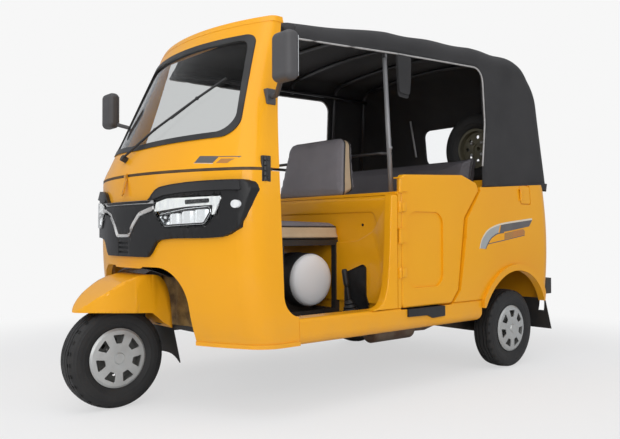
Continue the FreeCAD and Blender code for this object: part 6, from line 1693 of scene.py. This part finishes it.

# %% [markdown]
# ## Pressed panel of the bulkhead
# The bulkhead behind the driver's feet is one pressing with a wide, shallow
# pocket whose lower right edge runs up in a slant. A panel with this pocket and
# a rolled top edge lies on the plain wall. A small dark disc in the pocket is
# painted shade that stands for a hole.

# %% Panel with its pocket
pocket_line = rounded_line([(-0.50, 0.822), (0.505, 0.822), (0.530, 0.765), (0.500, 0.722), (0.405, 0.680),
                            (0.300, 0.672), (-0.50, 0.672)], [0.02, 0.03, 0.02, 0.03, 0.06, 0.10, 0.02], steps=6)
panel_left, panel_right, panel_low, panel_high = -0.560, 0.599, 0.396, 0.870
wall_y, panel_y = -0.0665, -0.0770


def pocket_ring(bm, shrink, y):
    """The pocket's outline, drawn in towards its middle, as a ring of points."""
    inward = {True: shrink, False: 0.0}
    return [bm.verts.new((x - inward[x > 0.25] + inward[x < -0.4], y, z + (shrink if z < 0.75 else -shrink)))
            for x, z in pocket_line]


bm = bmesh.new()
rim = [bm.verts.new((x, panel_y, z)) for x, z in ((panel_left, panel_low), (panel_right, panel_low),
                                                  (panel_right, panel_high), (panel_left, panel_high))]
rings = [pocket_ring(bm, shrink, y) for shrink, y in ((0.0, panel_y), (0.0025, panel_y + 0.0015),
                                                      (0.0060, wall_y - 0.0025), (0.0090, wall_y - 0.0012))]
loops = []
for ring in (rim, rings[0]):
    loops += [bm.edges.new((ring[k], ring[(k + 1) % len(ring)])) for k in range(len(ring))]
bmesh.ops.triangle_fill(bm, edges=loops, use_beauty=True)
lay_quads(bm, rings, closed=True)
bm.faces.new(rings[-1])
lay_quads(bm, [rim[:2], [bm.verts.new((x, -0.060, panel_low)) for x in (panel_left, panel_right)]])
roll_depth, roll_height, roll_steps = 0.014, 0.021, 6
rows = [[rim[3], rim[2]]]
for k in range(1, roll_steps + 1):
    angle = math.pi / 2 * k / roll_steps
    y, z = panel_y + roll_depth * (1 - math.cos(angle)), panel_high + roll_height * math.sin(angle)
    rows.append([bm.verts.new((x, y, z)) for x in (panel_left, panel_right)])
lay_quads(bm, rows)
bmesh.ops.recalc_face_normals(bm, faces=bm.faces[:])
if sum(f.normal.y * f.calc_area() for f in bm.faces) > 0:
    bmesh.ops.reverse_faces(bm, faces=bm.faces[:])
split_big(bm)
piece("bulkhead_pressed_panel", bm, yellow_paint, sharp=50)
# A dark disc in place of a hole: painted shade, not an opening.
hole_painted_shade = Finish("panel_hole_painted_shade", (0.02, 0.012, 0.006), 0.6).dull(0.2, 40.0)
piece("panel_hole", lathe(bmesh.new(), [(0, 0.0), (0.0065, 0.0), (0.0065, 0.002), (0.0045, 0.0015), (0, 0.0012)],
                          (0.428, wall_y - 0.0010, 0.759), (0, -1, 0), 24), hole_painted_shade)

# %% [markdown]
# ## Gas cylinder and parking brake
# The cylinder lies across the car with a flat, white end. A dark band round
# its body near each end is painted shade for the cylinder's shaded side, with a
# little dust on it. The brake lever stands in a rubber boot, against a black
# cover on the bulkhead.

# %% Cylinder with its bands
half_profile = [(0.0, 0.2880), (0.050, 0.2868), (0.090, 0.2830), (0.110, 0.2770), (0.1190, 0.2690), (0.1232, 0.2560),
                (0.1235, 0.2400)]
bottle_centre = (0, -0.246, 0.500)
profile = half_profile + [(r, -h) for r, h in reversed(half_profile)]
bottle = lathe(bmesh.new(), profile, bottle_centre, (1, 0, 0), 48)
bottle_white = Finish("bottle_white_paint", (0.86, 0.87, 0.88), 0.42).dull(0.4, 9.0).give("gas_cylinder")
# Dark bands near both ends: painted shade for the cylinder's shaded side, with dust.
bottle_painted_shade = Finish("bottle_band_painted_shade", (0.030, 0.032, 0.034), 0.5).dust(0.5, 0.3, amount=0.3)
piece("white_gas_bottle", bottle, bottle_white, sharp=40, instead="gas_cylinder")
bm = bmesh.new()
for start, end in ((0.110, 0.252), (-0.252, -0.110)):
    lathe(bm, [(0.1234, start), (0.1262, start + 0.001), (0.1262, end - 0.001), (0.1234, end)], bottle_centre,
          (1, 0, 0), 48)
piece("bottle_painted_shade_bands", bm, bottle_painted_shade, sharp=35)

# %% Brake cover, boot and lever
boot_rubber = Finish("boot_black_rubber", (0.011, 0.011, 0.012), 0.45).dull(0.6, 30.0)
bm = bmesh.new()
cover_line = rounded_line([(0.318, 0.530), (0.440, 0.574), (0.460, 0.560), (0.460, 0.430), (0.476, 0.390),
                           (0.462, 0.342),
                           (0.318, 0.342)], [0.03, 0.012, 0.012, 0.03, 0.02, 0.01, 0.01], steps=4)
front = prism(bm, *([(x, y, z) for x, z in cover_line] for y in (-0.0760, -0.0850)))[1]
bmesh.ops.inset_region(bm, faces=[front], thickness=0.006, depth=-0.005)
foot, lever_lean = Vector((0.410, -0.128, 0.3405)), (-0.10, -0.12, 1.0)
boot_profile = [(0, 0.0), (0.046, 0.0), (0.046, 0.006), (0.036, 0.014), (0.039, 0.020), (0.029, 0.030),
                (0.032, 0.036),
                (0.022, 0.048), (0.025, 0.054), (0.015, 0.068), (0.0, 0.070)]
lever_profile = [(0, 0.05), (0.008, 0.05), (0.008, 0.13), (0.0125, 0.135), (0.0140, 0.150), (0.0135, 0.190),
                 (0.0140, 0.205),
                 (0.010, 0.214), (0, 0.216)]
lathe(bm, boot_profile, foot, lever_lean, 28)
lathe(bm, lever_profile, foot, lever_lean, 24)
piece("brake_lever_and_boot", bm, boot_rubber, sharp=40, instead="parking_brake")

# %% [markdown]
# ## Door pillar and hinges
# In front of the door the bulkhead ends in a folded pillar that runs out into
# the sill in a wide curve. The door hangs on two short barrels there.

# %% Pillar beside the door
pillar_inner, pillar_outer, pillar_back = 0.600, 0.6395, -0.062
pillar_front = curve_line([(-0.098, 0.892), (-0.103, 0.80), (-0.109, 0.66), (-0.119, 0.53), (-0.135, 0.45),
                           (-0.165, 0.403),
                           (-0.225, 0.3838)], 4)
pillar_line = [(pillar_back, 0.892)] + [tuple(v) for v in pillar_front] + [(pillar_back, 0.3838)]
bm = bmesh.new()
prism(bm, *([(x, y, z) for y, z in pillar_line] for x in (pillar_inner, pillar_outer)))
edges = [e for e in bm.edges if all(abs(v.co.x - pillar_outer) < 1e-6 for v in e.verts)
         and min(v.co.y for v in e.verts) < -0.07 and max(v.co.z for v in e.verts) > 0.39]
bmesh.ops.bevel(bm, geom=edges, offset=0.007, segments=3, affect="EDGES", profile=0.5)
split_big(bm)
piece("door_pillar", bm, yellow_paint, sharp=32)

barrel_profile = [(0, 0.024), (0.0075, 0.024), (0.0086, 0.022), (0.0086, -0.022), (0.0075, -0.024), (0, -0.024)]
bm = bmesh.new()
for z in (0.541, 0.838):
    lathe(bm, barrel_profile, (0.640, -0.045, z), (0, 0, 1), 20)
    rounded_block(bm, (0.0030, 0.030, 0.040), (0.6478, -0.024, z), 0.0010, segments=2)
piece("door_hinge_barrels", bm, yellow_paint, body="door", sharp=35)

# %% [markdown]
# ## Tail lamps
# Each tail lamp is a dark housing with three lenses, amber above, red below it and
# a clear one at the foot. They are thin rounded blocks on the housing's face.

# %% Lenses on the housings
lens_red = Finish("lens_red_plastic", (0.42, 0.008, 0.006), 0.16).dull(0.1, 60.0)
lens_amber = Finish("lens_amber_plastic", (0.80, 0.20, 0.008), 0.16).dull(0.1, 60.0)
lens_clear = Finish("lens_clear_plastic", (0.72, 0.72, 0.70), 0.14).dull(0.1, 60.0)
housing_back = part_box("tail_lamps")[1].y
bm = bmesh.new()
lens_x, lens_width = 0.545, 0.068
for side in (-1, 1):
    for z, height, index in ((0.699, 0.044, 1), (0.643, 0.060, 0), (0.587, 0.042, 2)):
        before = set(bm.faces)
        rounded_block(bm, (lens_width, 0.008, height), (side * lens_x, housing_back + 0.001, z), 0.0035)
        for face in set(bm.faces) - before:
            face.material_index = index
piece("tail_lamp_lenses", bm, (lens_red, lens_amber, lens_clear), sharp=40)
